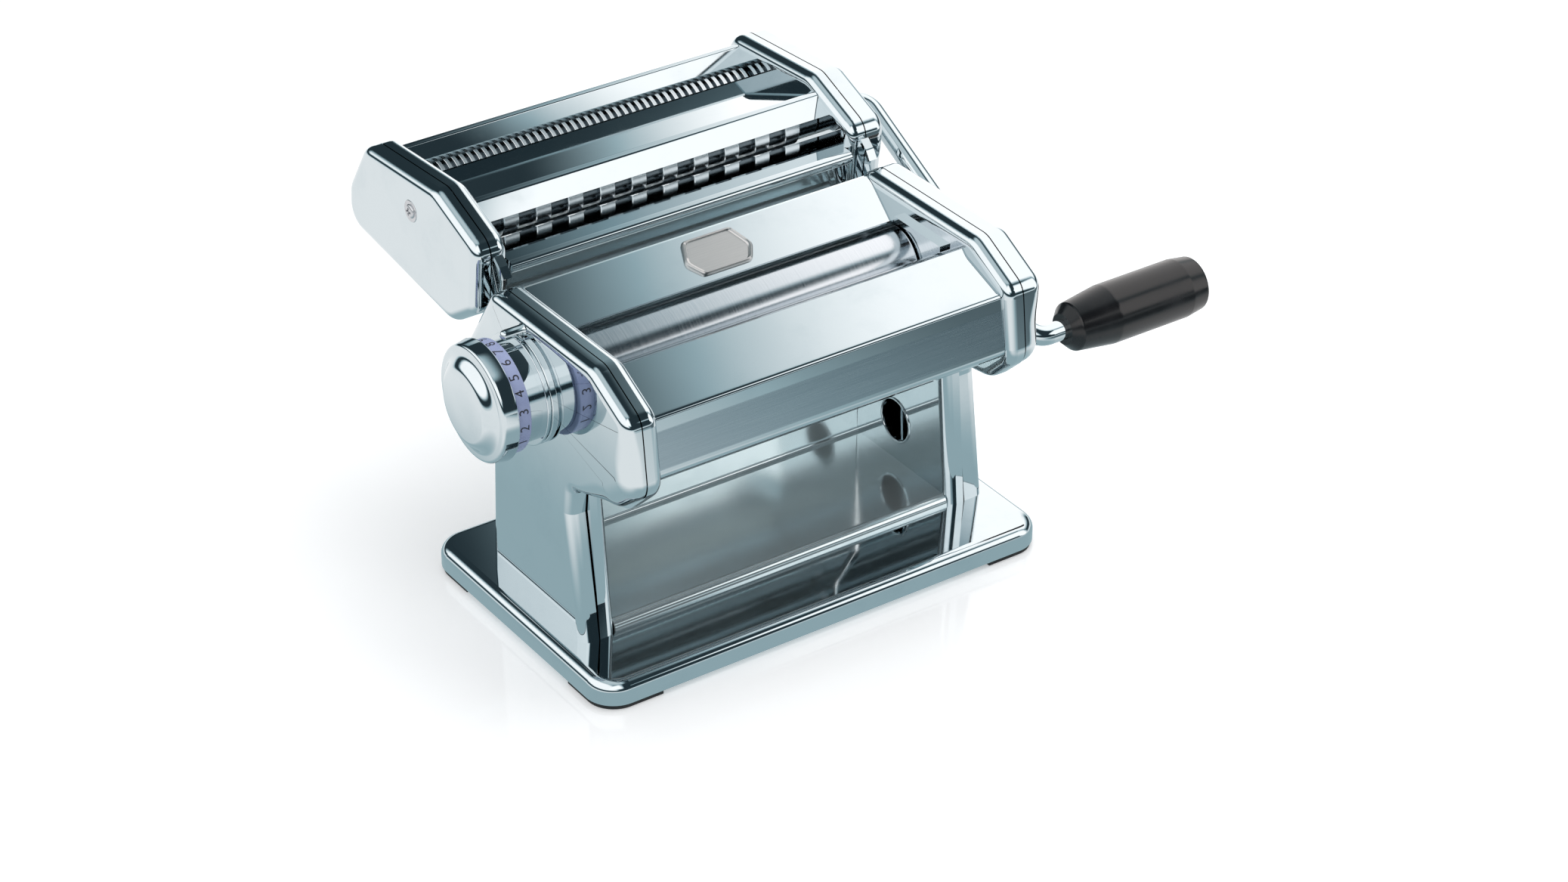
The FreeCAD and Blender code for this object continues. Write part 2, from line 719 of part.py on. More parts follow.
def socket(label, y, z, radius, turn=0):
    """Sleeve on a roller's end that takes the crank: a blind bore with a cross slot, turned by an angle."""
    start, end = dim("socket_start"), dim("socket_end")
    bore = dim("socket_bore")
    floor = start + dim("socket_floor")
    body = turned(label, [(start, 0, 0), (start, radius, 0), (end, radius, 0.6), (end, bore, 0),
                          (floor, bore, 0), (floor, 0, 0)], y, z)
    half = dim("dog_width") / 2
    reach = radius + 1
    slot = outline([(-half, -reach, 0), (half, -reach, 0), (half, reach, 0), (-half, reach, 0)])
    cut(body, sketch(body, "YZ_Plane", slot, "Dims.socket_end"), "Dims.dog_depth", -1)
    body.Placement = Placement(Vector(), Rotation(Vector(1, 0, 0), turn))
    return body


# Thickness dial

def make_dial():
    """Dial at the left cover: fixed collar and nub, spindle with its cam, and the knob that slides on it."""
    spindle = dim("spindle_radius")
    collar, lip = dim("collar_radius"), dim("collar_lip")
    collar_end = dim("collar_end")
    turned("dial_collar", [(-face, spindle + running, 0), (-face, collar + lip, 0),
                           (-face - 1.4, collar + lip, 0.5), (-face - 1.4, collar + 0.6, 0),
                           (-face - 2.4, collar + 0.6, 0), (-face - 2.4, collar + lip, 0),
                           (-face - 3.4, collar + lip, 0.4), (-face - 3.4, collar, 0),
                           (-collar_end, collar, 0), (-collar_end, spindle + 5, 0),
                           (-face - 3, spindle + 5, 0), (-face - 3, spindle + running, 0)],
           "Dims.gap_y", "Dims.roller_z")

    nub = new_body("index_nub")
    nub_z = roller_z + collar + lip + dim("nub_radius") + 0.2
    profile = sketch(nub, "YZ_Plane", disc(gap_y, nub_z, dim("nub_radius")), "-Dims.face")
    nub_pad = pad(nub, profile, "Dims.collar_length", -1)
    fillet(nub, nub_pad, edges_on(nub_pad, 0, -collar_end), "Dims.nub_radius / 2")

    ring_start, knob_start = dim("ring_start"), dim("knob_start")
    bore = spindle + running
    number, knob = dim("ring_radius"), dim("knob_radius")
    knob_end = knob_start + dim("knob_length")
    crown = knob_end + dim("crown_height")
    hollow = spindle + dim("spring_wire") + 2 * sweep + 2
    boss = hollow + dim("knob_wall")
    boss_end = ring_start + dim("knob_wall")
    roof = crown - dim("knob_wall")
    head = roof - sweep
    head_start = head - dim("knob_wall")
    turned("number_ring", [(-ring_start, boss + seat, 0), (-ring_start, number, 0.5),
                           (-knob_start, number, 0), (-knob_start, boss + seat, 0)],
           "Dims.gap_y", "Dims.roller_z")
    turned("dial_knob", [(-ring_start, bore, 0), (-ring_start, boss, 0), (-knob_start, boss, 0),
                         (-knob_start, dim("knob_skirt"), 0.6), (-knob_end, knob, 1.6),
                         (-knob_end, dim("crown_radius") + 1.6, 0), (-crown, dim("crown_radius"), 1.2),
                         (-crown, 0, 0), (-roof, 0, 0), (-roof, hollow, 0), (-boss_end, hollow, 0),
                         (-boss_end, bore, 0)], "Dims.gap_y", "Dims.roller_z")

    cam_start = dim("gear_start")
    cam_end = cam_start + dim("cam_width")
    turned("dial_spindle", [(-cam_end, 0, 0), (-cam_end, spindle, 0), (-head_start, spindle, 0),
                            (-head_start, hollow - sweep, 0), (-head, hollow - sweep, 0), (-head, 0, 0)],
           "Dims.gap_y", "Dims.roller_z")
    cam = new_body("dial_cam")
    swing = math.radians(dim("cam_swing"))
    cam_y = gap_y - dim("cam_throw") * math.sin(swing)
    cam_z = roller_z + dim("cam_throw") * math.cos(swing)
    profile = sketch(cam, "YZ_Plane", disc(cam_y, cam_z, dim("cam_radius")), "-Dims.gear_start")
    pad(cam, profile, "Dims.cam_width", -1)
    coil = spindle + sweep
    turned("dial_spring", [(-boss_end - 0.1, coil, 0), (-boss_end - 0.1, coil + dim("spring_wire"), 0),
                           (-head_start + 0.1, coil + dim("spring_wire"), 0), (-head_start + 0.1, coil, 0)],
           "Dims.gap_y", "Dims.roller_z")


# Cutter head

def ringed_barrel(ring_centres, ring_width):
    """Corners of a cutting roller's barrel: a core with raised rings."""
    core, tip = dim("cut_core"), dim("cut_radius")
    end = wall - dim("end_play")
    corners = [(-end, core, 0)]
    for centre in ring_centres:
        low, high = max(centre - ring_width / 2, -end + 0.4), min(centre + ring_width / 2, end - 0.4)
        corners += [(low, core, 0), (low, tip, 0), (high, tip, 0), (high, core, 0)]
    return corners + [(end, core, 0)]


def make_cutter_rollers():
    """Wide and thin cutting pairs with gears, sockets and bushes."""
    pitch = dim("wide_pitch")
    count = int(dim("inner_width") / pitch)
    upper = [(index - (count - 1) / 2) * pitch for index in range(count)]
    lower = [(index - count / 2) * pitch for index in range(1, count)]
    mean, end = dim("cut_spacing") / 2 - sweep, wall - dim("end_play")
    plain = [(-end, mean, 0), (end, mean, 0)]
    width = dim("wide_ring")
    axle = dim("cut_journal")
    sleeve = dim("socket_bore") + dim("cut_socket_wall")
    upper_rings, lower_rings = ringed_barrel(upper, width), ringed_barrel(lower, width)
    for name, upper_barrel, lower_barrel, place, low_place, turn in (
            ("wide", upper_rings, lower_rings, (wide_y, wide_z), (wide_low_y, wide_low_z), dim("arm_angle")),
            ("thin", plain, plain, (thin_y, thin_z), (thin_low_y, thin_low_z), 0)):
        high_y, high_z = f"Dims.{name}_y", f"Dims.{name}_z"
        low_y, low_z = f"Dims.{name}_low_y", f"Dims.{name}_low_z"
        roller(f"{name}_upper_roller", high_y, high_z, upper_barrel, axle, dim("socket_start"))
        roller(f"{name}_lower_roller", low_y, low_z, lower_barrel, axle, dim("gear_end"))
        gear_pair(f"{name}_upper_gear", f"{name}_lower_gear", (*place, sleeve), (*low_place, axle),
                  dim("cut_spacing") / 2, dim("cut_teeth"), dim("cut_addendum"), dim("cut_dedendum"))
        socket(f"{name}_socket", high_y, high_z, sleeve, turn)

    bushes = new_body("cutter_bushes")
    inner = dim("cut_journal") + running
    outer = dim("cut_journal") + dim("cut_bush_wall")
    curves = []
    for y, z in CUTTER_AXES:
        curves += ring(y, z, outer, inner)
    for sign, side in (("-", -1), ("", 1)):
        pad(bushes, sketch(bushes, "YZ_Plane", curves, f"{sign}Dims.wall"), "Dims.bush_length", side)


def make_cutter_frame():
    """Plates, covers and guide sheets of the cutter head, and how it hangs on the body."""
    hole = dim("cut_journal") + dim("cut_bush_wall") + seat
    screw = (thin_low_y - dim("screw_front"), crest + dim("screw_rise"))
    for name, side in SIDES:
        plate = rimmed_plate(f"cutter_{name}_plate", side, cutter_outline)
        wall_holes(plate, side, [curve for y, z in CUTTER_AXES for curve in disc(y, z, hole)])
        cover = drawn_cover(f"cutter_{name}_cover", side, cutter_outline)
        cover_hole(cover, side, disc(*screw, dim("screw_radius") / 2 + sweep))
        if side > 0:
            opening = dim("socket_bore") + dim("cut_socket_wall") + sweep
            cover_hole(cover, side, disc(wide_y, wide_z, opening) + disc(thin_y, thin_z, opening))

    screws = new_body("cutter_screws")
    for side, outer in FACES.items():
        head = disc(*screw, dim("screw_radius"))
        pad(screws, sketch(screws, "YZ_Plane", head, outer), "Dims.screw_head", side)
        shank = disc(*screw, dim("screw_radius") / 2)
        length = f"abs({outer}) - Dims.wall - Dims.plate_wall"
        pad(screws, sketch(screws, "YZ_Plane", shank, outer), length, -side)

    radius = dim("cut_radius")
    guard_top = (cutter_y + dim("cutter_rear_back") - 4.5, crest + dim("cutter_rear_top") - 1, 1.5)
    guard_low = (thin_y + 0.5, thin_z + radius + 1.2, 0)
    guard_back = (cutter_y + dim("cutter_depth") - 2.5, crest - 3, 0)
    panel("rear_guard", [guard_low, guard_top, guard_back], -sheet_wall)

    ridge = (wide_y - dim("guide_ridge_front"), wide_z + radius + dim("guide_ridge_rise"), 1.5)
    guide_rear = (thin_y - dim("guide_rear_front"), thin_z + dim("guide_rear_rise"), 0)
    guide_front = (wide_y - radius - 1, wide_z + 3.4, 0)
    panel("centre_guide", [guide_front, ridge, guide_rear], sheet_wall * 0.7)

    bead = dim("bead_radius")
    shelf_z = wide_low_z + radius + dim("comb_gap") + sheet_wall
    bead_y = cutter_y + 1.3
    front = new_body("front_sheet")
    shelf = [(wide_y - radius - 2.5, shelf_z, 0), (bead_y, shelf_z, 0)]
    apron_low = (cutter_y + dim("cutter_chin_back") + 1, crest - dim("cutter_chin") + 3, 0)
    apron = [(bead_y + 0.4, shelf_z - bead, 0), apron_low]
    for curves in (strip(shelf, sheet_wall), disc(bead_y, shelf_z - bead, bead), strip(apron, sheet_wall)):
        pad(front, sketch(front, "YZ_Plane", curves, "-Dims.wall"), "Dims.inner_width")

    hooks = new_body("cutter_hooks")
    rise = dim("hook_rise")
    hook = [(cutter_y - 1, crest + rise, 0), (cutter_y - dim("hook_knee"), crest + rise - 3, 3),
            (cutter_y - dim("hook_reach"), crest + 1.4, 0)]
    profile = strip(hook, dim("hook_wall"))
    for sign, side in (("-", -1), ("", 1)):
        pad(hooks, sketch(hooks, "YZ_Plane", profile, f"{sign}Dims.seam"), "Dims.hook_width", -side)

    reach = radius + dim("comb_gap")
    lean = math.radians(20)
    curves = []
    for y, z, side in ((wide_y, wide_z, 1), (wide_low_y, wide_low_z, -1),
                       (thin_y, thin_z, 1), (thin_low_y, thin_low_z, -1)):
        edge_y, edge_z = y + side * reach * math.cos(lean), z - reach * math.sin(lean)
        foot = (edge_y - side, edge_z - dim("comb_length"), 0)
        curves += strip([(edge_y, edge_z, 0), foot], side * sheet_wall)
    combs = new_body("noodle_combs")
    pad(combs, sketch(combs, "YZ_Plane", curves, "-Dims.wall"), "Dims.inner_width")

    rail = dim("rail_radius")
    rail_y, rail_z = cutter_y + dim("rail_back"), crest - dim("rail_drop")
    cross_rods("cutter_rail", [(rail_y, rail_z)], rail)
    ears = new_body("hanger_ears")
    rear = dim("back_reach") - 1
    slot = rail + sweep
    tip = rail_y + slot + 2
    ear = [(rear, rail_z - dim("ear_drop"), 0), (tip, rail_z - dim("ear_neck"), 2), (tip, rail_z, 0),
           (rail_y + slot, rail_z, 0), (rail_y + slot, rail_z - slot, slot * 0.9),
           (rail_y - slot, rail_z - slot, slot * 0.9), (rail_y - slot, rail_z, 0),
           (rail_y - slot - 1.2, rail_z, 0)]
    for sign, side in (("-", -1), ("", 1)):
        start = f"{sign}(Dims.wall - Dims.ear_inset)"
        pad(ears, sketch(ears, "YZ_Plane", outline(ear), start), "Dims.ear_width", -side)


# Crank

def make_crank():
    """Crank rod bent twice at right angles, its grip and the cap that keeps the grip on."""
    radius = dim("rod_radius")
    start = dim("socket_start") + dim("socket_floor") + 0.5
    plane_x, length, bend = dim("arm_plane"), dim("arm_length"), dim("bend_radius")
    grip_end = dim("grip_start") + dim("grip_length")
    pin_end = grip_end - dim("cap_depth")
    rod = new_body("crank_rod")
    spine_curves = [
        Part.LineSegment(Vector(start, 0, 0), Vector(plane_x - bend, 0, 0)),
        arc(Vector(plane_x - bend, 0, 0), Vector(plane_x, -bend, 0), Vector(plane_x - bend, -bend, 0)),
        Part.LineSegment(Vector(plane_x, -bend, 0), Vector(plane_x, bend - length, 0)),
        arc(Vector(plane_x, bend - length, 0), Vector(plane_x + bend, -length, 0),
            Vector(plane_x + bend, bend - length, 0)),
        Part.LineSegment(Vector(plane_x + bend, -length, 0), Vector(pin_end, -length, 0)),
    ]
    spine = sketch(rod, "XY_Plane", spine_curves)
    section = sketch(rod, "YZ_Plane", disc(0, 0, radius), f"{start} mm")
    pipe = rod.newObject("PartDesign::AdditivePipe", "crank_rod_pipe")
    pipe.Profile = section
    pipe.Spine = (spine, [])
    half = dim("dog_width") / 2 - sweep
    reach = dim("socket_bore") + 1.2
    dog = outline([(-half, -reach, 0), (half, -reach, 0), (half, reach, 0), (-half, reach, 0)])
    pad(rod, sketch(rod, "YZ_Plane", dog, "Dims.socket_end"), "Dims.dog_depth - Dims.sweep_gap", -1)
    rod.Placement = Placement(Vector(0, wide_y, wide_z), Rotation(Vector(1, 0, 0), dim("arm_angle")))

    grip_start = dim("grip_start")
    neck, full = dim("grip_neck"), dim("grip_radius")
    hole = radius + running
    cap = dim("cap_radius")
    well = pin_end - sweep
    turned("handle_grip", [(grip_start, hole, 0), (grip_start, dim("grip_mouth"), 0),
                           (grip_start + 3.5, neck, 1.5), (grip_start + dim("grip_taper"), full, 6),
                           (grip_end - dim("grip_end_taper"), full, 3),
                           (grip_end, dim("grip_end_radius"), 1.5), (grip_end, cap + sweep, 0),
                           (well, cap + sweep, 0), (well, hole, 0)],
           "Dims.grip_y", "Dims.grip_z")
    turned("handle_cap", [(pin_end, 0, 0), (pin_end, cap, 0), (grip_end, cap, 1.2), (grip_end, 0, 0)],
           "Dims.grip_y", "Dims.grip_z")


make_base()
make_side_walls()
make_panels()
make_rollers()
make_dial()
make_cutter_rollers()
make_cutter_frame()
make_crank()
doc.recompute()

# Every feature has to be sound before anything is written
for item in doc.Objects:
    if {"Invalid", "Error"} & set(item.State):
        raise RuntimeError(f"{item.Label} failed: {item.State}")
for piece in pieces:
    if piece.Shape.isNull() or not piece.Shape.isValid():
        raise RuntimeError(f"{piece.Label} has no sound shape")

os.makedirs("parts", exist_ok=True)
for piece in pieces:
    piece.Shape.exportStep(f"parts/{piece.Label}.step")
    print(f"{piece.Label}: {len(piece.Shape.Solids)} solids, {piece.Shape.Volume:.1f} mm3")
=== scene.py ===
import math

import bmesh
import bpy
import numpy as np
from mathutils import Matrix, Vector


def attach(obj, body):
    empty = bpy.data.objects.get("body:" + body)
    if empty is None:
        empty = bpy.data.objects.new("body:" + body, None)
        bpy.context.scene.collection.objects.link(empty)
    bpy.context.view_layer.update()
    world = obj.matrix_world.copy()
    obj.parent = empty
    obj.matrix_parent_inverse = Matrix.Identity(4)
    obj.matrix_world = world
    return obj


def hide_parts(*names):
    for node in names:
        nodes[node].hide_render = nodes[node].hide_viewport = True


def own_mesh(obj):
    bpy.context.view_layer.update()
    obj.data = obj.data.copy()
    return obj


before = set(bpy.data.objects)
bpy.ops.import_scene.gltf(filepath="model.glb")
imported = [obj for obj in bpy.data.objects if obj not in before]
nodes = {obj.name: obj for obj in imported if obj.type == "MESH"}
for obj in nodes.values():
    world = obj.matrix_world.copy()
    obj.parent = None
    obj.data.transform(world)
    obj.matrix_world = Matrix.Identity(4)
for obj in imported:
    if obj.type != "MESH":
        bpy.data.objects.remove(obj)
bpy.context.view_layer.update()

# Places and sizes on the machine in metres, as the solids have them
MM = 0.001
WALL = 75.5 * MM
DIAL_Y, DRIVE_Y, DIAL_Z = 2.4 * MM, -27.47 * MM, 104.0 * MM
COVER_LEFT, COVER_RIGHT = -90.0 * MM, 92.4 * MM
SCREW_Y, SCREW_Z = 80.5 * MM, 140.5 * MM
WINDOW_Y, WINDOW_Z, WINDOW_RADIUS = 2.6 * MM, 32.5 * MM, 8.7 * MM
HOPPER_LOW, HOPPER_TOP = (2.4 * MM, 121.0 * MM), (24.0 * MM, 129.9 * MM)
RING_START, RING_END, RING_RADIUS = -100.0 * MM, -106.0 * MM, 21.4 * MM
WIDE_UPPER, WIDE_LOWER = (63.0 * MM, 139.5 * MM), (53.606 * MM, 125.572 * MM)
THIN_UPPER, THIN_LOWER = (107.0 * MM, 133.4 * MM), (92.451 * MM, 125.0 * MM)
WIDE_PITCH, WIDE_RING, WIDE_COUNT = 13.9 * MM, 6.6 * MM, 10
THIN_PITCH, THIN_RING, THIN_COUNT = 3.26 * MM, 1.55 * MM, 46
RING_TIP, RING_CORE, JOURNAL = 9.0 * MM, 7.2 * MM, 4.0 * MM
LEFT_END, UPPER_END, LOWER_END = -80.0 * MM, 80.0 * MM, 85.3 * MM
POLE = 1e-6

# Tones of the plating and the stretch of its turned lines
CHROME_TINT, CHROME_SHADE = (0.64, 0.70, 0.725), (0.57, 0.64, 0.67)
TURNED_LINES = (1.0, 0.012, 0.012)
SHEET_WAVE = 0.04 * MM


# Meshes

def add_object(name, data):
    """New object in the scene, at the origin."""
    thing = bpy.data.objects.new(name, data)
    bpy.context.scene.collection.objects.link(thing)
    return thing


def mesh_piece(name, points, faces, body, material, crease=35.0, closed=True):
    """Mesh object at the origin from an array of points and a list of faces, smooth up to a crease angle; a closed
    one has its faces turned outwards."""
    mesh = bpy.data.meshes.new(name)
    mesh.from_pydata(np.asarray(points, float).reshape(-1, 3).tolist(), [], faces)
    mesh.validate()
    if closed:
        shell = bmesh.new()
        shell.from_mesh(mesh)
        bmesh.ops.recalc_face_normals(shell, faces=shell.faces)
        shell.to_mesh(mesh)
        shell.free()
    mesh.shade_smooth()
    mesh.set_sharp_from_angle(angle=math.radians(crease))
    mesh.materials.append(material)
    piece = add_object(name, mesh)
    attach(piece, body)
    return piece


def grid_faces(rows, columns, wrap_rows=False, wrap_columns=False):
    """Quads of a grid of points kept row by row; a wrapped direction joins its end to its start."""
    r = np.arange(rows if wrap_rows else rows - 1)
    c = np.arange(columns if wrap_columns else columns - 1)
    a, b = np.meshgrid(r, c, indexing="ij")
    a2, b2 = (a + 1) % rows, (b + 1) % columns
    quads = np.stack([a * columns + b, a * columns + b2, a2 * columns + b2, a2 * columns + b], -1)
    return quads.reshape(-1, 4).tolist()


def capped_faces(rows, columns):
    """Faces of a tube of closed rows with a cap on its first row and on its last."""
    ring = np.arange(columns)
    caps = [ring[::-1].tolist(), (ring + (rows - 1) * columns).tolist()]
    return grid_faces(rows, columns, wrap_columns=True) + caps


def turned_points(profile, y, z, steps):
    """Points (x, y + r sin a, z + r cos a) for each (x, r) of a profile and each angle a of a full turn."""
    profile = np.asarray(profile, float)
    angle = np.linspace(0, 2 * math.pi, steps, endpoint=False)
    x = np.repeat(profile[:, :1], steps, axis=1)
    return np.stack([x, y + profile[:, 1:] * np.sin(angle), z + profile[:, 1:] * np.cos(angle)], -1)


def turned_piece(name, profile, axis, body, material, steps=96, crease=35.0):
    """Surface of revolution about a line along X: the (x, r) profile runs in +X and its ends close on the axis."""
    profile = np.asarray(profile, float)
    first, last = profile[0, 0], profile[-1, 0]
    profile = np.concatenate([[(first, POLE)], profile, [(last, POLE)]])
    points = turned_points(profile, axis[0], axis[1], steps)
    return mesh_piece(name, points, capped_faces(len(profile), steps), body, material, crease)


# Finishes

def new_material(name):
    """Material with a Principled shader; gives the node tree and the shader."""
    material = bpy.data.materials.new(name)
    material.use_nodes = True
    tree = material.node_tree
    shader = tree.nodes["Principled BSDF"]
    return material, tree, shader


def group_node(tree, group, **values):
    """Places a node group in a material and sets its named inputs."""
    node = tree.nodes.new("ShaderNodeGroup")
    node.node_tree = group
    for name, value in values.items():
        node.inputs[name.replace("_", " ").title()].default_value = value
    return node


def new_group(name, inputs, outputs):
    """Shader node group with float or colour sockets; gives the group and its two end nodes."""
    group = bpy.data.node_groups.new(name, "ShaderNodeTree")
    for label, kind, value in inputs:
        socket = group.interface.new_socket(label, in_out="INPUT", socket_type=kind)
        socket.default_value = value
    for label, kind in outputs:
        group.interface.new_socket(label, in_out="OUTPUT", socket_type=kind)
    return group, group.nodes.new("NodeGroupInput"), group.nodes.new("NodeGroupOutput")


def math_node(tree, operation, first, second=None):
    """Math node fed by sockets or numbers; gives its output socket."""
    node = tree.nodes.new("ShaderNodeMath")
    node.operation = operation
    for index, value in enumerate((first, second)):
        if value is None:
            continue
        if isinstance(value, (int, float)):
            node.inputs[index].default_value = value
        else:
            tree.links.new(value, node.inputs[index])
    return node.outputs[0]


def noise(tree, vector, scale, detail=3.0, roughness=0.5):
    """Noise texture on a vector socket; gives its value socket."""
    node = tree.nodes.new("ShaderNodeTexNoise")
    node.inputs["Detail"].default_value = detail
    node.inputs["Roughness"].default_value = roughness
    if isinstance(scale, (int, float)):
        node.inputs["Scale"].default_value = scale
    else:
        tree.links.new(scale, node.inputs["Scale"])
    tree.links.new(vector, node.inputs["Vector"])
    return node.outputs[0]


def product(tree, *values):
    """Product of sockets or numbers."""
    result = values[0]
    for value in values[1:]:
        result = math_node(tree, "MULTIPLY", result, value)
    return result


def largest(tree, *values):
    """Largest of sockets or numbers."""
    result = values[0]
    for value in values[1:]:
        result = math_node(tree, "MAXIMUM", result, value)
    return result


def stretched(tree, vector, factors):
    """Vector scaled by a factor for each axis."""
    node = tree.nodes.new("ShaderNodeMapping")
    node.inputs["Scale"].default_value = factors
    tree.links.new(vector, node.inputs["Vector"])
    return node.outputs[0]


def object_place(tree):
    """Object coordinates."""
    return tree.nodes.new("ShaderNodeTexCoord").outputs["Object"]


def object_axes(tree):
    """Object coordinates as an X, a Y and a Z socket."""
    node = tree.nodes.new("ShaderNodeSeparateXYZ")
    tree.links.new(object_place(tree), node.inputs[0])
    return node.outputs["X"], node.outputs["Y"], node.outputs["Z"]


def mix_colour(tree, factor, first, second):
    """Blend of two colours by a factor socket."""
    node = tree.nodes.new("ShaderNodeMix")
    node.data_type = "RGBA"
    tree.links.new(factor, node.inputs["Factor"])
    for index, colour in ((6, first), (7, second)):
        if isinstance(colour, tuple):
            node.inputs[index].default_value = (*colour, 1)
        else:
            tree.links.new(colour, node.inputs[index])
    return node.outputs[2]


def smooth_range(tree, value, low, high, to_low=0.0, to_high=1.0):
    """Smooth step of a value from one range to another."""
    node = tree.nodes.new("ShaderNodeMapRange")
    node.interpolation_type = "SMOOTHSTEP"
    tree.links.new(value, node.inputs["Value"])
    for index, number in enumerate((low, high, to_low, to_high), start=1):
        node.inputs[index].default_value = number
    return node.outputs[0]


def tone_ramp(tree, value, stops):
    """Colour ramp through (place, colour) stops."""
    node = tree.nodes.new("ShaderNodeValToRGB")
    bar = node.color_ramp
    for index, (place, colour) in enumerate(stops):
        stop = bar.elements[index] if index < 2 else bar.elements.new(place)
        stop.position, stop.color = place, (*colour, 1)
    tree.links.new(value, node.inputs[0])
    return node.outputs[0]


def bump(tree, height, shader, distance):
    """Bump node between a height and the shader's normal."""
    node = tree.nodes.new("ShaderNodeBump")
    node.inputs["Distance"].default_value = distance
    node.inputs["Strength"].default_value = 1.0
    tree.links.new(height, node.inputs["Height"])
    tree.links.new(node.outputs["Normal"], shader.inputs["Normal"])


def make_plating_group():
    """Polished plating: faint smears that dull it in patches and the slow waves of pressed sheet."""
    group, ins, outs = new_group(
        "plating_marks",
        [("Polish", "NodeSocketFloat", 0.04), ("Smear", "NodeSocketFloat", 0.06),
         ("Tint", "NodeSocketColor", (0.8, 0.83, 0.86, 1)), ("Shade", "NodeSocketColor", (0.7, 0.74, 0.78, 1))],
        [("Colour", "NodeSocketColor"), ("Roughness", "NodeSocketFloat"), ("Height", "NodeSocketFloat")])
    place = object_place(group)
    patches = noise(group, place, 38.0, 4.0, 0.6)
    smears = noise(group, stretched(group, place, (1.0, 3.5, 3.5)), 160.0, 5.0, 0.65)
    dull = product(group, smooth_range(group, patches, 0.45, 0.75), smears)
    rough = product(group, dull, ins.outputs["Smear"])
    group.links.new(math_node(group, "ADD", rough, ins.outputs["Polish"]), outs.inputs["Roughness"])
    group.links.new(mix_colour(group, dull, ins.outputs["Tint"], ins.outputs["Shade"]), outs.inputs["Colour"])
    group.links.new(noise(group, place, 24.0, 1.0), outs.inputs["Height"])
    return group


def make_brushed_group():
    """Fine parallel brushing: noise that is stretched along one axis by the material's own mapping."""
    group, ins, outs = new_group(
        "brushed_lines",
        [("Place", "NodeSocketVector", (0, 0, 0)), ("Fineness", "NodeSocketFloat", 900.0),
         ("Depth", "NodeSocketFloat", 0.15), ("Level", "NodeSocketFloat", 0.3)],
        [("Line", "NodeSocketFloat"), ("Roughness", "NodeSocketFloat")])
    line = noise(group, ins.outputs["Place"], ins.outputs["Fineness"], 4.0, 0.7)
    group.links.new(line, outs.inputs["Line"])
    swing = product(group, math_node(group, "SUBTRACT", line, 0.5), ins.outputs["Depth"])
    group.links.new(math_node(group, "ADD", swing, ins.outputs["Level"]), outs.inputs["Roughness"])
    return group


def make_grain_group():
    """Fine moulded grain with a slow change of tone."""
    group, ins, outs = new_group(
        "moulded_grain",
        [("Fineness", "NodeSocketFloat", 1800.0), ("Level", "NodeSocketFloat", 0.35),
         ("Tone", "NodeSocketColor", (0.02, 0.02, 0.02, 1)), ("Worn", "NodeSocketColor", (0.04, 0.04, 0.04, 1))],
        [("Colour", "NodeSocketColor"), ("Roughness", "NodeSocketFloat"), ("Height", "NodeSocketFloat")])
    place = object_place(group)
    grain = noise(group, place, ins.outputs["Fineness"], 3.0, 0.6)
    slow = smooth_range(group, noise(group, place, 60.0, 3.0), 0.35, 0.7)
    group.links.new(grain, outs.inputs["Height"])
    group.links.new(mix_colour(group, slow, ins.outputs["Tone"], ins.outputs["Worn"]), outs.inputs["Colour"])
    swing = product(group, math_node(group, "SUBTRACT", slow, 0.5), 0.12)
    group.links.new(math_node(group, "ADD", swing, ins.outputs["Level"]), outs.inputs["Roughness"])
    return group


plating = make_plating_group()
brushed = make_brushed_group()
grain = make_grain_group()


def plated(name, polish, smear, tint, shade, wave, metal=1.0):
    """Mirror plating on pressed or turned metal."""
    material, tree, shader = new_material(name)
    shader.inputs["Metallic"].default_value = metal
    marks = group_node(tree, plating, polish=polish, smear=smear, tint=(*tint, 1), shade=(*shade, 1))
    tree.links.new(marks.outputs["Colour"], shader.inputs["Base Color"])
    tree.links.new(marks.outputs["Roughness"], shader.inputs["Roughness"])
    bump(tree, marks.outputs["Height"], shader, wave)
    return material


def brushed_metal(name, stretch, fineness, depth, level, light, dark, lift):
    """Metal with fine parallel lines, closest together along the axis with the largest stretch."""
    material, tree, shader = new_material(name)
    shader.inputs["Metallic"].default_value = 1.0
    lines = group_node(tree, brushed, fineness=fineness, depth=depth, level=level)
    tree.links.new(stretched(tree, object_place(tree), stretch), lines.inputs["Place"])
    tree.links.new(mix_colour(tree, lines.outputs["Line"], dark, light), shader.inputs["Base Color"])
    tree.links.new(lines.outputs["Roughness"], shader.inputs["Roughness"])
    bump(tree, lines.outputs["Line"], shader, lift)
    return material


def moulded(name, tone, worn, level, fineness, lift):
    """Moulded plastic or rubber with a fine grain."""
    material, tree, shader = new_material(name)
    marks = group_node(tree, grain, fineness=fineness, level=level, tone=(*tone, 1), worn=(*worn, 1))
    tree.links.new(marks.outputs["Colour"], shader.inputs["Base Color"])
    tree.links.new(marks.outputs["Roughness"], shader.inputs["Roughness"])
    bump(tree, marks.outputs["Height"], shader, lift)
    return material


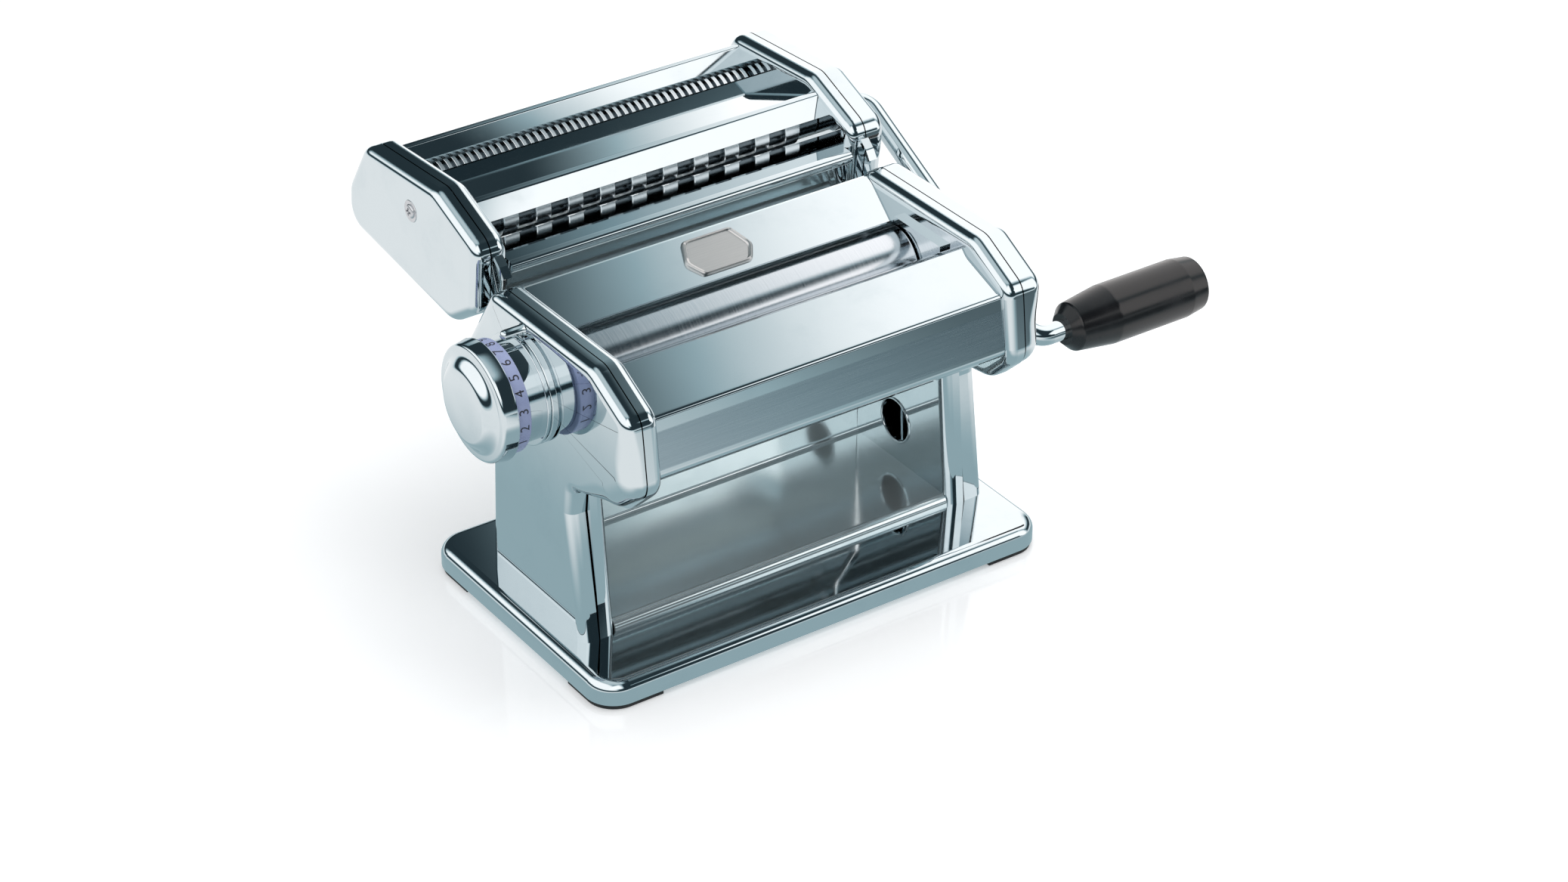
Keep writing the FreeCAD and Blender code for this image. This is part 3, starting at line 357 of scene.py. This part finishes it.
def ringed_metal():
    """Cutting rollers: bright turned rings, and painted shade in the grooves between them, laid by the "raised"
    attribute of the mesh.
    """
    material, tree, shader = new_material("turned_rings")
    shader.inputs["Metallic"].default_value = 1.0
    lines = group_node(tree, brushed, fineness=1500.0, depth=0.12, level=0.24)
    tree.links.new(stretched(tree, object_place(tree), TURNED_LINES), lines.inputs["Place"])
    raised = tree.nodes.new("ShaderNodeAttribute")
    raised.attribute_name = "raised"
    # The groove colour is painted shade: dark metal wherever the "raised" attribute is low.
    painted_groove_shade, dull_tip, bright_tip = (0.16, 0.19, 0.21), (0.72, 0.77, 0.80), (0.86, 0.89, 0.91)
    tip = mix_colour(tree, lines.outputs["Line"], dull_tip, bright_tip)
    tree.links.new(mix_colour(tree, raised.outputs["Fac"], painted_groove_shade, tip), shader.inputs["Base Color"])
    tree.links.new(lines.outputs["Roughness"], shader.inputs["Roughness"])
    bump(tree, lines.outputs["Line"], shader, 0.003 * MM)
    return material


def banded_front():
    """Front panel: mirror plating above, and on its lower strip a satin band brushed along X, whose dark tone is
    painted shade.
    """
    top, foot = (112.5 * MM, 111.8 * MM), (97.2 * MM, 97.8 * MM)
    # The band's tones, darker than the plating, are painted shade; its brushed lines and roughness are its satin
    # finish.
    dark, pale = (0.33, 0.40, 0.44), (0.50, 0.58, 0.62)
    material, tree, shader = new_material("front_panel_plating")
    shader.inputs["Metallic"].default_value = 1.0
    marks = group_node(tree, plating, polish=0.05, smear=0.05, tint=(*CHROME_TINT, 1), shade=(*CHROME_SHADE, 1))
    lines = group_node(tree, brushed, fineness=2600.0, depth=0.10, level=0.26)
    tree.links.new(stretched(tree, object_place(tree), (0.012, 1.0, 1.0)), lines.inputs["Place"])
    z = object_axes(tree)[2]
    painted_shade_band = product(tree, smooth_range(tree, z, *top), smooth_range(tree, z, *foot))
    strip = mix_colour(tree, lines.outputs["Line"], dark, pale)
    tree.links.new(mix_colour(tree, painted_shade_band, marks.outputs["Colour"], strip), shader.inputs["Base Color"])
    rough = tree.nodes.new("ShaderNodeMix")
    tree.links.new(painted_shade_band, rough.inputs["Factor"])
    tree.links.new(marks.outputs["Roughness"], rough.inputs[2])
    tree.links.new(lines.outputs["Roughness"], rough.inputs[3])
    tree.links.new(rough.outputs[0], shader.inputs["Roughness"])
    bump(tree, marks.outputs["Height"], shader, SHEET_WAVE)
    return material


chrome = plated("polished_plating", polish=0.03, smear=0.10, tint=CHROME_TINT, shade=CHROME_SHADE, wave=SHEET_WAVE)
satin = plated("satin_plating", polish=0.10, smear=0.06, tint=(0.83, 0.92, 0.94), shade=(0.77, 0.87, 0.895),
               wave=0.02 * MM, metal=0.75)
front_plating = banded_front()
steel = brushed_metal("plain_steel", stretch=(1.0, 0.06, 0.06), fineness=700.0, depth=0.2, level=0.32,
                      light=(0.66, 0.67, 0.69), dark=(0.5, 0.51, 0.53), lift=0.01 * MM)
roller_metal = brushed_metal("anodised_roller", stretch=TURNED_LINES, fineness=1500.0, depth=0.16, level=0.17,
                             light=(0.80, 0.83, 0.86), dark=(0.56, 0.60, 0.64), lift=0.003 * MM)
ring_metal = ringed_metal()
badge_metal = brushed_metal("badge_metal", stretch=(0.02, 1.0, 1.0), fineness=2200.0, depth=0.12, level=0.3,
                            light=(0.66, 0.655, 0.645), dark=(0.50, 0.50, 0.495), lift=0.004 * MM)
grip_plastic = moulded("grip_plastic", tone=(0.007, 0.007, 0.008), worn=(0.012, 0.012, 0.014), level=0.24,
                       fineness=1600.0, lift=0.008 * MM)
foot_rubber = moulded("foot_rubber", tone=(0.015, 0.015, 0.016), worn=(0.03, 0.03, 0.03), level=0.7,
                      fineness=1200.0, lift=0.04 * MM)
ring_plastic = moulded("number_ring_plastic", tone=(0.29, 0.34, 0.54), worn=(0.34, 0.39, 0.60), level=0.32,
                       fineness=1400.0, lift=0.006 * MM)
numeral_ink = moulded("numeral_ink", tone=(0.02, 0.02, 0.03), worn=(0.03, 0.03, 0.04), level=0.5,
                      fineness=1500.0, lift=0.004 * MM)
nylon = moulded("pale_nylon", tone=(0.66, 0.66, 0.64), worn=(0.74, 0.74, 0.72), level=0.45,
                fineness=900.0, lift=0.01 * MM)

FINISHES = {
    chrome: ["base_plate", "left_plate", "right_plate", "side_guides", "hopper_panel", "dial_collar", "index_nub",
             "cutter_left_plate", "cutter_right_plate", "rear_guard", "centre_guide", "front_sheet",
             "cutter_hooks", "crank_rod", "dial_knob", "badge_plate",
             "left_cover", "right_cover", "left_leg", "right_leg", "cutter_left_cover", "cutter_right_cover"],
    satin: ["floor_panel", "back_panel"],
    front_plating: ["front_panel"],
    steel: ["tie_rods", "hanger_ears", "dial_spindle", "dial_cam", "dial_spring", "drive_gear", "gap_gear",
            "drive_socket", "wide_upper_gear", "wide_lower_gear", "wide_socket", "thin_upper_gear",
            "thin_lower_gear", "thin_socket", "cutter_screws", "cutter_rail", "handle_cap", "gap_carriages"],
    roller_metal: ["drive_roller", "gap_roller", "wide_upper_roller", "wide_lower_roller",
                   "thin_upper_roller", "thin_lower_roller"],
    foot_rubber: ["foot_pads"],
    grip_plastic: ["handle_grip"],
    ring_plastic: ["number_ring"],
    nylon: ["drive_bushes", "cutter_bushes", "roller_scrapers", "noodle_combs"],
}
for finish, members in FINISHES.items():
    for member in members:
        nodes[member].data.materials.clear()
        nodes[member].data.materials.append(finish)


# Side covers, in millimetres until their meshes are made

SIDE_OUTLINE = np.array([(29, 63, 0), (44, 88, 10), (44, 104, 10), (26, 131.5, 6), (-42, 132.5, 10), (-64.5, 121, 8),
                         (-67.8, 91.5, 10), (-54, 80.5, 12), (-27, 74.5, 3), (-25.5, 63, 0)])
SIDE_SEAM, SEAM_LAND, SIDE_WALL = 83.2, 0.8, 1.5
SIDE_ROLL, CHIN_ROLL = 4.0, 9.0
PATH_STEP, ARC_POINTS, FOOT_POINTS, ROLL_LOOPS = 1.5, 16, 42, 14


def unit(vectors):
    """Vectors of length 1."""
    return vectors / np.linalg.norm(vectors, axis=-1, keepdims=True)


def ease(value, low, high):
    """Smooth step 3u^2 - 2u^3 from low to high."""
    u = np.clip((value - low) / (high - low), 0.0, 1.0)
    return u * u * (3 - 2 * u)


def straight(start, end):
    """Points from a start to an end, about one step apart."""
    share = np.linspace(0, 1, 2 + int(np.linalg.norm(end - start) / PATH_STEP))[:, None]
    return start + share * (end - start)


def rounded_path(corners):
    """Points along an open path through (y, z, radius) corners, with an arc of that radius at each inner corner."""
    parts, last = [], corners[0, :2]
    for before, (y, z, radius), after in zip(corners[:-2, :2], corners[1:-1], corners[2:, :2]):
        corner = np.array([y, z])
        back, ahead = unit(before - corner), unit(after - corner)
        half = math.acos(float(back @ ahead)) / 2
        start, end = corner + back * radius / math.tan(half), corner + ahead * radius / math.tan(half)
        middle = corner + unit(back + ahead) * radius / math.sin(half)
        sweep = math.pi - 2 * half
        step = np.linspace(0, 1, ARC_POINTS)[:, None]
        arc = np.sin((1 - step) * sweep) * (start - middle) + np.sin(step * sweep) * (end - middle)
        parts += [straight(last, start)[:-1], middle + arc / math.sin(sweep)]
        last = end
    return np.concatenate(parts + [straight(last, corners[-1, :2])[1:]])


def level_loop(x, path):
    """Loop of a path at one place along X."""
    return np.concatenate([np.full((len(path), 1), x), path], -1)[None]


def rolled_edge(path, shift, face, deep, turn):
    """Loops of a quarter of an ellipse up to the face: path + shift (1 - cos t) at x = face + deep (sin t - 1)."""
    x = face + deep * (np.sin(turn)[:, None] - 1)
    return np.concatenate([x[..., None], path + shift * (1 - np.cos(turn)[:, None, None])], -1)


def make_side_cover(name, side, face, hole_y, hole_radius):
    """Drawn side cover, a tray open at the seam: loops of its outline from the seam to the face and back inside. The
    edge rolls over as a quarter of an ellipse that widens from the crest to the chin, and is less by the wall inside;
    the foot stays straight."""
    seam, within = side * SIDE_SEAM, face - side * SIDE_WALL
    path = rounded_path(SIDE_OUTLINE)
    along = unit(np.gradient(path, axis=0))
    inward = np.stack([-along[:, 1], along[:, 0]], -1)
    chin = ease(path[:, 1], 122.0, 102.0) * ease(path[:, 0], -30.0, -48.0)
    wide = SIDE_ROLL + (CHIN_ROLL - SIDE_ROLL) * chin
    deep = SIDE_ROLL + (abs(face - seam) - SEAM_LAND - SIDE_ROLL) * chin
    length = np.concatenate([[0.0], np.cumsum(np.linalg.norm(np.diff(path, axis=0), axis=1))])
    square = np.minimum(ease(length, 0.0, 20.0), ease(length[-1] - length, 0.0, 8.0))[:, None]
    level = np.where(inward[:, 0] < 0, -1.0, 1.0) / np.maximum(abs(inward[:, 0]), 0.3)
    shift = wide[:, None] * (square * inward + (1 - square) * np.stack([level, 0.0 * level], -1))
    share = np.linspace(0, 1, FOOT_POINTS)[1:-1, None]
    foot = path[-1] + share * (path[0] - path[-1])
    inset = np.concatenate([inward, np.broadcast_to((0.0, 1.0), foot.shape)])
    inset[[0, len(path) - 1]] = (-1.0, 1.0), (1.0, 1.0)
    inner = np.concatenate([path, foot]) + SIDE_WALL * inset
    path = np.concatenate([path, foot])
    shift = np.concatenate([shift, shift[-1] + share * (shift[0] - shift[-1])])
    wide, deep = (np.concatenate([part, np.full(len(foot), SIDE_ROLL)]) for part in (wide, deep))
    lean = (1 - SIDE_WALL / wide)[:, None]
    hole = np.array([hole_y, DIAL_Z / MM])
    ring = hole + hole_radius * unit(path + shift - hole)
    turn = np.linspace(0, math.pi / 2, ROLL_LOOPS)
    loops = np.concatenate([
        level_loop(seam, path), rolled_edge(path, shift, face, side * deep, turn),
        level_loop(face, path + 1.06 * shift), level_loop(face, path + 1.15 * shift),
        level_loop(face, ring), level_loop(within, ring),
        rolled_edge(inner, lean * shift, within, side * (deep - SIDE_WALL), turn[::-1]), level_loop(seam, inner)])
    faces = grid_faces(len(loops), len(path), wrap_rows=True, wrap_columns=True)
    cover = mesh_piece(f"drawn_{name}", loops * MM, faces, "frame", chrome)
    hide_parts(name)


make_side_cover("left_cover", -1, COVER_LEFT / MM, DIAL_Y / MM, 4.3)
make_side_cover("right_cover", 1, COVER_RIGHT / MM, DRIVE_Y / MM, 7.3)


# Cutting rollers

def ringed_profile(centres, width, right_end, edge):
    """(x, r) profile of a core with raised rings whose edges have a small chamfer."""
    end, margin = WALL - 0.5 * MM, 0.4 * MM
    low = np.maximum(centres - width / 2, margin - end)
    high = np.minimum(centres + width / 2, end - margin)
    x = np.stack([low, low, low + edge, high - edge, high, high], -1)
    r = np.array([RING_CORE, RING_TIP - edge, RING_TIP, RING_TIP, RING_TIP - edge, RING_CORE])
    rings = np.stack([x, np.broadcast_to(r, x.shape)], -1).reshape(-1, 2)
    left = [(LEFT_END, JOURNAL), (-end, JOURNAL), (-end, RING_CORE)]
    right = [(end, RING_CORE), (end, JOURNAL), (right_end, JOURNAL)]
    return np.concatenate([left, rings, right])


def make_cutting_pair(name, upper_axis, lower_axis, pitch, width, count, edge, steps):
    """Cutting pair: rings at an even pitch, the lower ones in the gaps of the upper ones."""
    upper = (np.arange(count) - (count - 1) / 2) * pitch
    lower = (np.arange(1, count) - count / 2) * pitch
    for half, centres, axis, right_end in (("upper", upper, upper_axis, UPPER_END),
                                           ("lower", lower, lower_axis, LOWER_END)):
        profile = ringed_profile(centres, width, right_end, edge)
        body = f"{name}_{half}"
        piece = turned_piece(f"{body}_rings", profile, axis, body, ring_metal, steps)
        # raised: 0 on the core and 1 on the ring tips; the rings' material paints shade in the grooves by it.
        raised = np.clip((profile[:, 1] - RING_CORE) / (RING_TIP - RING_CORE), 0.0, 1.0)
        raised = np.repeat(np.concatenate([[0.0], raised, [0.0]]), steps)
        piece.data.attributes.new("raised", "FLOAT", "POINT").data.foreach_set("value", raised)
        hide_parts(f"{body}_roller")


make_cutting_pair("wide", WIDE_UPPER, WIDE_LOWER, WIDE_PITCH, WIDE_RING, WIDE_COUNT, edge=0.3 * MM, steps=128)
make_cutting_pair("thin", THIN_UPPER, THIN_LOWER, THIN_PITCH, THIN_RING, THIN_COUNT, edge=0.12 * MM, steps=64)


# Badge, screws, window rim and back strip

def six_sided(angle, half, tall):
    """Distance from the middle to a rounded six-sided outline: (sum of (n.e / h)^p over the sides)^(-1/p)."""
    rounding, short, low = 22.0, 0.72 * half, -tall / 5
    corners = np.array([(-half, low), (-short, -tall), (short, -tall), (half, low), (short, tall), (-short, tall)])
    along = unit(np.roll(corners, -1, axis=0) - corners)
    normal = np.stack([along[:, 1], -along[:, 0]], -1)
    reach = (normal * corners).sum(1)
    towards = np.stack([np.cos(angle), np.sin(angle)], -1)
    side = np.maximum(towards @ normal.T / reach, 0.0)
    return (side ** rounding).sum(-1) ** (-1.0 / rounding)


def make_badge():
    """Blank badge: loops of the six-sided outline, drawn in by a share and raised by a height, that run from its
    foot over a bevelled border into a sunk field; it lies on the hopper's slope."""
    loops = np.array([(1.0, -0.1), (1.0, 0.9), (0.985, 1.5), (0.955, 1.78), (0.90, 1.8), (0.885, 1.7), (0.86, 1.2),
                      (0.855, 1.15), (0.84, 1.15), (0.8, 1.15), (0.4, 1.15), (0.0001, 1.15)])
    angle = np.linspace(0, 2 * math.pi, 240, endpoint=False)
    reach = loops[:, :1] * six_sided(angle, 15.0 * MM, 8.5 * MM)
    across, up = reach * np.cos(angle), reach * np.sin(angle)
    lift = loops[:, 1:] * MM + 0.0 * angle
    low, top = np.array(HOPPER_LOW), np.array(HOPPER_TOP)
    slope = unit(top - low)
    middle = (low + top) / 2
    points = np.stack([across, middle[0] + up * slope[0] - lift * slope[1],
                       middle[1] + up * slope[1] + lift * slope[0]], -1)
    faces = capped_faces(len(loops), len(angle))
    badge = mesh_piece("blank_badge", points, faces, "frame", badge_metal, crease=28.0)
    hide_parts("badge_plate")


def make_screws():
    """Cover screws: height over a disc of polar points, a dished seat, a domed head and a cross recess."""
    recess_half, recess_reach, recess_depth = 0.34, 1.6, 0.75
    dome = np.array([(0.0001, 1.15), (0.25, 1.15), (0.42, 1.14), (0.5, 1.14), (0.8, 1.12), (1.2, 1.07), (1.5, 1.02),
                     (1.62, 1.0), (1.9, 0.92), (2.3, 0.78), (2.6, 0.55), (2.75, 0.3), (2.8, 0.12), (3.3, 0.08),
                     (3.8, 0.16), (4.2, 0.22), (4.4, -0.1)])
    radius, height = dome[:, :1], dome[:, 1:]
    angle = np.linspace(0, 2 * math.pi, 96, endpoint=False)
    across, up = radius * np.cos(angle), radius * np.sin(angle)
    cross = (np.minimum(abs(across), abs(up)) < recess_half) & (radius < recess_reach)
    lift = (height - recess_depth * cross) * MM
    heads = [np.stack([face + side * lift, SCREW_Y + across * MM, SCREW_Z + up * MM], -1).reshape(-1, 3)
             for side, face in ((-1, COVER_LEFT), (1, COVER_RIGHT))]
    faces = capped_faces(*lift.shape)
    faces += [[corner + lift.size for corner in face] for face in faces]
    screws = mesh_piece("cover_screws", np.concatenate(heads), faces, "cutter_frame", steel, crease=40.0)
    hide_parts("cutter_screws")


def make_window_rim():
    """Rolled rim of the side window: a small circle of section carried round the hole."""
    tube, margin, steps = 0.55 * MM, 0.4 * MM, 96
    section = np.linspace(0, 2 * math.pi, 24, endpoint=False)
    profile = np.stack([WALL + tube * np.cos(section), WINDOW_RADIUS + margin + tube * np.sin(section)], -1)
    points = turned_points(profile, WINDOW_Y, WINDOW_Z, steps)
    faces = grid_faces(len(profile), steps, wrap_rows=True, wrap_columns=True)
    mesh_piece("window_rim", points, faces, "frame", chrome)


def make_back_skirt():
    """Strip that closes the foot of the back wall: a rounded section (y, z) carried along X."""
    section = np.array([(28.95, 11.0), (29.75, 11.0), (29.75, 18.0), (29.68, 18.4), (29.45, 18.65), (29.2, 18.7),
                        (28.95, 18.7)])
    points = np.concatenate([level_loop(-75.3, section), level_loop(75.3, section)]) * MM
    mesh_piece("back_skirt", points, capped_faces(2, len(section)), "frame", chrome)


make_badge()
make_screws()
make_window_rim()
make_back_skirt()


# Dial

def make_knob():
    """Dial knob: a turned (x, r) profile with a rolled rim, and a face that rises to its crown by a smooth step
    3u^2 - 2u^3; the bore and the spring's pocket are inside."""
    front, crown_depth, crown_start, crown_run = -115.9, 3.8, 13.2, 6.2
    rim_x, rim_r, rim_round = -110.6, 20.9, 1.5
    step = np.linspace(0, 1, 28)
    crown = np.stack([front + crown_depth * ease(step, 0, 1), crown_start + crown_run * step], -1)
    turn = np.linspace(0, math.pi / 2, 10)
    rim = np.stack([rim_x - rim_round * np.cos(turn), rim_r + rim_round * np.sin(turn)], -1)
    inside = [(-106.5, 23.15), (-106.1, 23.1), (-106.0, 22.9), (-106.0, 10.0), (-100.0, 10.0), (-100.0, 4.1),
              (-101.8, 4.1), (-101.8, 8.2), (-114.1, 8.2)]
    profile = np.concatenate([[(front, 6.0)], crown, rim, inside]) * MM
    knob = turned_piece("turned_knob", profile, (DIAL_Y, DIAL_Z), "dial_knob", chrome, steps=160, crease=40.0)
    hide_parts("dial_knob")


def make_pointer():
    """Pointer pin above the dial: a turned (x, r) profile with a rounded nose."""
    above, nose_x, radius = 23.8 * MM, -97.4, 1.9
    turn = np.linspace(0, math.pi / 2, 9)[1:]
    nose = np.stack([nose_x - radius * np.cos(turn), radius * np.sin(turn)], -1)
    profile = np.concatenate([nose, [(-91.0, radius), (-90.4, 2.2), (-90.0, 2.4)]]) * MM
    pin = turned_piece("pointer_pin", profile, (DIAL_Y, DIAL_Z + above), "frame", chrome, steps=48)
    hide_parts("index_nub")


def make_spring():
    """Coil spring in the knob: a circle of section carried along the helix (x, r sin a, r cos a)."""
    wire, coil, coils = 0.7 * MM, 5.1 * MM, 5
    start, length = -111.2 * MM, 8.6 * MM
    turn = np.linspace(0, 2 * math.pi * coils, 181)[:, None]
    section = np.linspace(0, 2 * math.pi, 14, endpoint=False)
    x = start + length * turn / turn[-1] + wire * np.sin(section)
    radius = coil + wire * np.cos(section)
    points = np.stack([x, DIAL_Y + radius * np.sin(turn), DIAL_Z + radius * np.cos(turn)], -1)
    faces = capped_faces(len(turn), len(section))
    spring = mesh_piece("knob_spring", points, faces, "dial_spindle", steel)
    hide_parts("dial_spring")
    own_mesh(spring)


make_knob()
make_pointer()
make_spring()


def numeral_points(text, height):
    """Flat outline mesh of one numeral, centred on the origin, as points and faces."""
    curve = bpy.data.curves.new("numeral", "FONT")
    curve.body = text
    curve.size = 1.0
    curve.resolution_u = 6
    holder = add_object("numeral", curve)
    graph = bpy.context.evaluated_depsgraph_get()
    mesh = bpy.data.meshes.new_from_object(holder.evaluated_get(graph))
    points = np.empty(len(mesh.vertices) * 3)
    mesh.vertices.foreach_get("co", points)
    points = points.reshape(-1, 3)
    faces = [list(face.vertices) for face in mesh.polygons]
    bpy.data.objects.remove(holder)
    bpy.data.meshes.remove(mesh)
    low, high = points.min(0), points.max(0)
    return (points - (low + high) / 2) * (height / (high[1] - low[1])), faces


def make_numerals():
    """Numerals wrapped on the dial's ring: across the text is the angle round the ring, and up the text is -X."""
    places = {"9": -18.0, "8": -2.5, "7": 12.0, "6": 27.6, "5": 44.5, "4": 60.6, "3": 79.0, "2": 97.0, "1": 115.0}
    height, radius = 3.7 * MM, RING_RADIUS + 0.05 * MM
    points, faces = [], []
    for text, degrees in places.items():
        flat, shape = numeral_points(text, height)
        angle = math.radians(degrees) - flat[:, 0] / radius
        x = (RING_START + RING_END) / 2 - flat[:, 1]
        start = sum(len(part) for part in points)
        points.append(np.stack([x, DIAL_Y - radius * np.sin(angle), DIAL_Z + radius * np.cos(angle)], -1))
        faces += [[start + corner for corner in face] for face in shape]
    mesh_piece("ring_numerals", np.concatenate(points), faces, "dial_knob", numeral_ink, closed=False)


make_numerals()


# Stage

def make_floor():
    """Wide pale floor with a faint gloss; mirrors see a painted glow instead, white away from the machine, with
    painted shade close to it and in front of it.
    """
    half, drop = 12.0, 0.2 * MM
    shade_x, shade_y = 0.10, 0.11
    material, tree, shader = new_material("pale_floor")
    shader.inputs["Base Color"].default_value = (0.95, 0.955, 0.96, 1)
    shader.inputs["Roughness"].default_value = 0.06
    shader.inputs["Emission Color"].default_value = (1, 1, 1, 1)
    paths = tree.nodes.new("ShaderNodeLightPath")
    tree.links.new(product(tree, paths.outputs["Is Camera Ray"], 0.28), shader.inputs["Emission Strength"])
    x, y, _ = object_axes(tree)
    # Painted glow for glossy rays: painted shade close to the machine and in front of it, white farther out.
    beside = largest(tree, math_node(tree, "SUBTRACT", math_node(tree, "ABSOLUTE", x), shade_x), 0.0)
    beyond = largest(tree, math_node(tree, "SUBTRACT", math_node(tree, "ABSOLUTE", y), shade_y), 0.0)
    squares = math_node(tree, "ADD", product(tree, beside, beside), product(tree, beyond, beyond))
    close = smooth_range(tree, math_node(tree, "SQRT", squares), 0.03, 0.14, 0.34, 1.0)
    ahead = product(tree, smooth_range(tree, y, -0.14, -0.26), smooth_range(tree, x, -0.1, 0.3, 0.0, 0.92))
    light = product(tree, close, math_node(tree, "SUBTRACT", 1.0, ahead))
    glow = tree.nodes.new("ShaderNodeEmission")
    glow.inputs["Strength"].default_value = 1.05
    tone = tone_ramp(tree, light, [(0.0, (0.024, 0.038, 0.048)), (1.0, (1.0, 1.0, 1.0)), (0.35, (0.38, 0.505, 0.543))])
    tree.links.new(tone, glow.inputs["Color"])
    mixed = tree.nodes.new("ShaderNodeMixShader")
    tree.links.new(paths.outputs["Is Glossy Ray"], mixed.inputs[0])
    tree.links.new(shader.outputs[0], mixed.inputs[1])
    tree.links.new(glow.outputs[0], mixed.inputs[2])
    tree.links.new(mixed.outputs[0], tree.nodes["Material Output"].inputs["Surface"])
    mesh = bpy.data.meshes.new("floor")
    mesh.from_pydata([(-half, -half, 0), (half, -half, 0), (half, half, 0), (-half, half, 0)], [], [(0, 1, 2, 3)])
    mesh.materials.append(material)
    floor = add_object("floor", mesh)
    floor.location.z = -drop


def make_world():
    """White surround that lights dull surfaces evenly."""
    world = bpy.data.worlds.new("studio")
    bpy.context.scene.world = world
    world.use_nodes = True
    tree = world.node_tree
    back = tree.nodes["Background"]
    back.inputs["Color"].default_value = (0.97, 0.985, 1, 1)
    back.inputs["Strength"].default_value = 0.62
    seen = tree.nodes.new("ShaderNodeBackground")
    seen.inputs["Color"].default_value = (1, 1, 1, 1)
    paths = tree.nodes.new("ShaderNodeLightPath")
    direct = largest(tree, paths.outputs["Is Camera Ray"], paths.outputs["Is Glossy Ray"])
    mixed = tree.nodes.new("ShaderNodeMixShader")
    tree.links.new(direct, mixed.inputs[0])
    tree.links.new(back.outputs[0], mixed.inputs[1])
    tree.links.new(seen.outputs[0], mixed.inputs[2])
    tree.links.new(mixed.outputs[0], tree.nodes["World Output"].inputs["Surface"])


def make_tent():
    """Studio tent that only mirrors see: the upper half of a sphere, point (R cos e cos a, R cos e sin a, R sin e),
    glowing with painted light, bright to the right, fading to slate painted shade overhead and to the left, with a
    pale rim at the floor."""
    radius, rows, columns = 1.3, 25, 72
    turn = np.linspace(0, 2 * math.pi, columns, endpoint=False)
    rise = np.linspace(0, math.pi / 2 * 0.995, rows)[:, None]
    flat = radius * np.cos(rise)
    points = np.stack([flat * np.cos(turn), flat * np.sin(turn), radius * np.sin(rise) + 0 * turn], -1)
    mesh = bpy.data.meshes.new("tent")
    mesh.from_pydata(points.reshape(-1, 3).tolist(), [], grid_faces(rows, columns, wrap_columns=True))
    mesh.shade_smooth()
    tent = add_object("tent", mesh)
    material = bpy.data.materials.new("tent_painted_light")
    material.use_nodes = True
    tree = material.node_tree
    tree.nodes.remove(tree.nodes["Principled BSDF"])
    x, y, z = object_axes(tree)
    # Painted light and painted shade of the tent, seen only in mirrors.
    above = product(tree, smooth_range(tree, x, 0.42, 0.68), smooth_range(tree, z, 0.35, 0.75),
                    smooth_range(tree, y, -0.6, -0.25))
    behind = product(tree, smooth_range(tree, x, 0.5, 0.66), smooth_range(tree, y, 0.5, 0.8))
    strip = smooth_range(tree, math_node(tree, "ADD", z, product(tree, x, 1.2)), 1.13, 1.27)
    high = smooth_range(tree, math_node(tree, "SUBTRACT", z, x), 0.24, 0.12)
    front = product(tree, strip, high, smooth_range(tree, y, -0.4, -0.65))
    left = product(tree, smooth_range(tree, x, -0.3, -0.7, 0.0, 0.95), smooth_range(tree, z, 0.28, 0.45))
    near = product(tree, smooth_range(tree, x, 0.05, -0.25), smooth_range(tree, y, -0.45, -0.7),
                   smooth_range(tree, z, 0.45, 0.65))
    rim = smooth_range(tree, z, 0.16, 0.03, 0.0, 0.6)
    crown = product(tree, smooth_range(tree, z, 1.1, 1.24, 0.0, 0.5), smooth_range(tree, x, 0.36, 0.1))
    light = largest(tree, above, front, left, near, rim, behind, crown)
    glow = tree.nodes.new("ShaderNodeEmission")
    glow.inputs["Strength"].default_value = 1.48
    tone = tone_ramp(tree, light, [(0.0, (0.017, 0.028, 0.034)), (1.0, (1.0, 0.97, 0.96)), (0.35, (0.27, 0.36, 0.39))])
    tree.links.new(tone, glow.inputs["Color"])
    tree.links.new(glow.outputs[0], tree.nodes["Material Output"].inputs["Surface"])
    mesh.materials.append(material)
    tent.visible_camera = tent.visible_diffuse = tent.visible_shadow = False
    tent.visible_transmission = tent.visible_volume_scatter = False


def soft_lamp(name, place, target, size, power):
    """Rectangular area lamp that looks at a point and shows in no mirror."""
    data = bpy.data.lights.new(name, "AREA")
    data.shape = "RECTANGLE"
    data.size, data.size_y = size
    data.energy = power
    lamp = add_object(name, data)
    lamp.location = place
    lamp.rotation_mode = "QUATERNION"
    lamp.rotation_quaternion = (Vector(target) - Vector(place)).to_track_quat("-Z", "Y")
    lamp.visible_glossy = False


def make_camera():
    """Camera at the photograph's place and angle, for a frame of 2075 by 1167."""
    sensor, frame_width, focal_pixels = 36.0, 2075, 5278.26
    azimuth, elevation = math.radians(34.536), math.radians(31.757)
    data = bpy.data.cameras.new("camera")
    data.sensor_width = sensor
    data.lens = focal_pixels / frame_width * sensor
    data.clip_start, data.clip_end = 0.05, 60.0
    camera = add_object("camera", data)
    level = math.cos(elevation)
    ahead = Vector((math.sin(azimuth) * level, math.cos(azimuth) * level, -math.sin(elevation)))
    camera.location = (-0.70875, -1.06063, 0.84017)
    camera.rotation_mode = "QUATERNION"
    camera.rotation_quaternion = ahead.to_track_quat("-Z", "Y")
    bpy.context.scene.camera = camera


make_floor()
make_world()
make_tent()
soft_lamp("overhead", place=(0.35, 0.15, 1.3), target=(0.0, 0.0, 0.08), size=(1.2, 0.8), power=8.5)
soft_lamp("front_left", place=(-1.2, -0.9, 0.9), target=(0.0, 0.0, 0.08), size=(0.9, 0.9), power=4.0)
make_camera()
bpy.context.scene.view_settings.view_transform = "Standard"
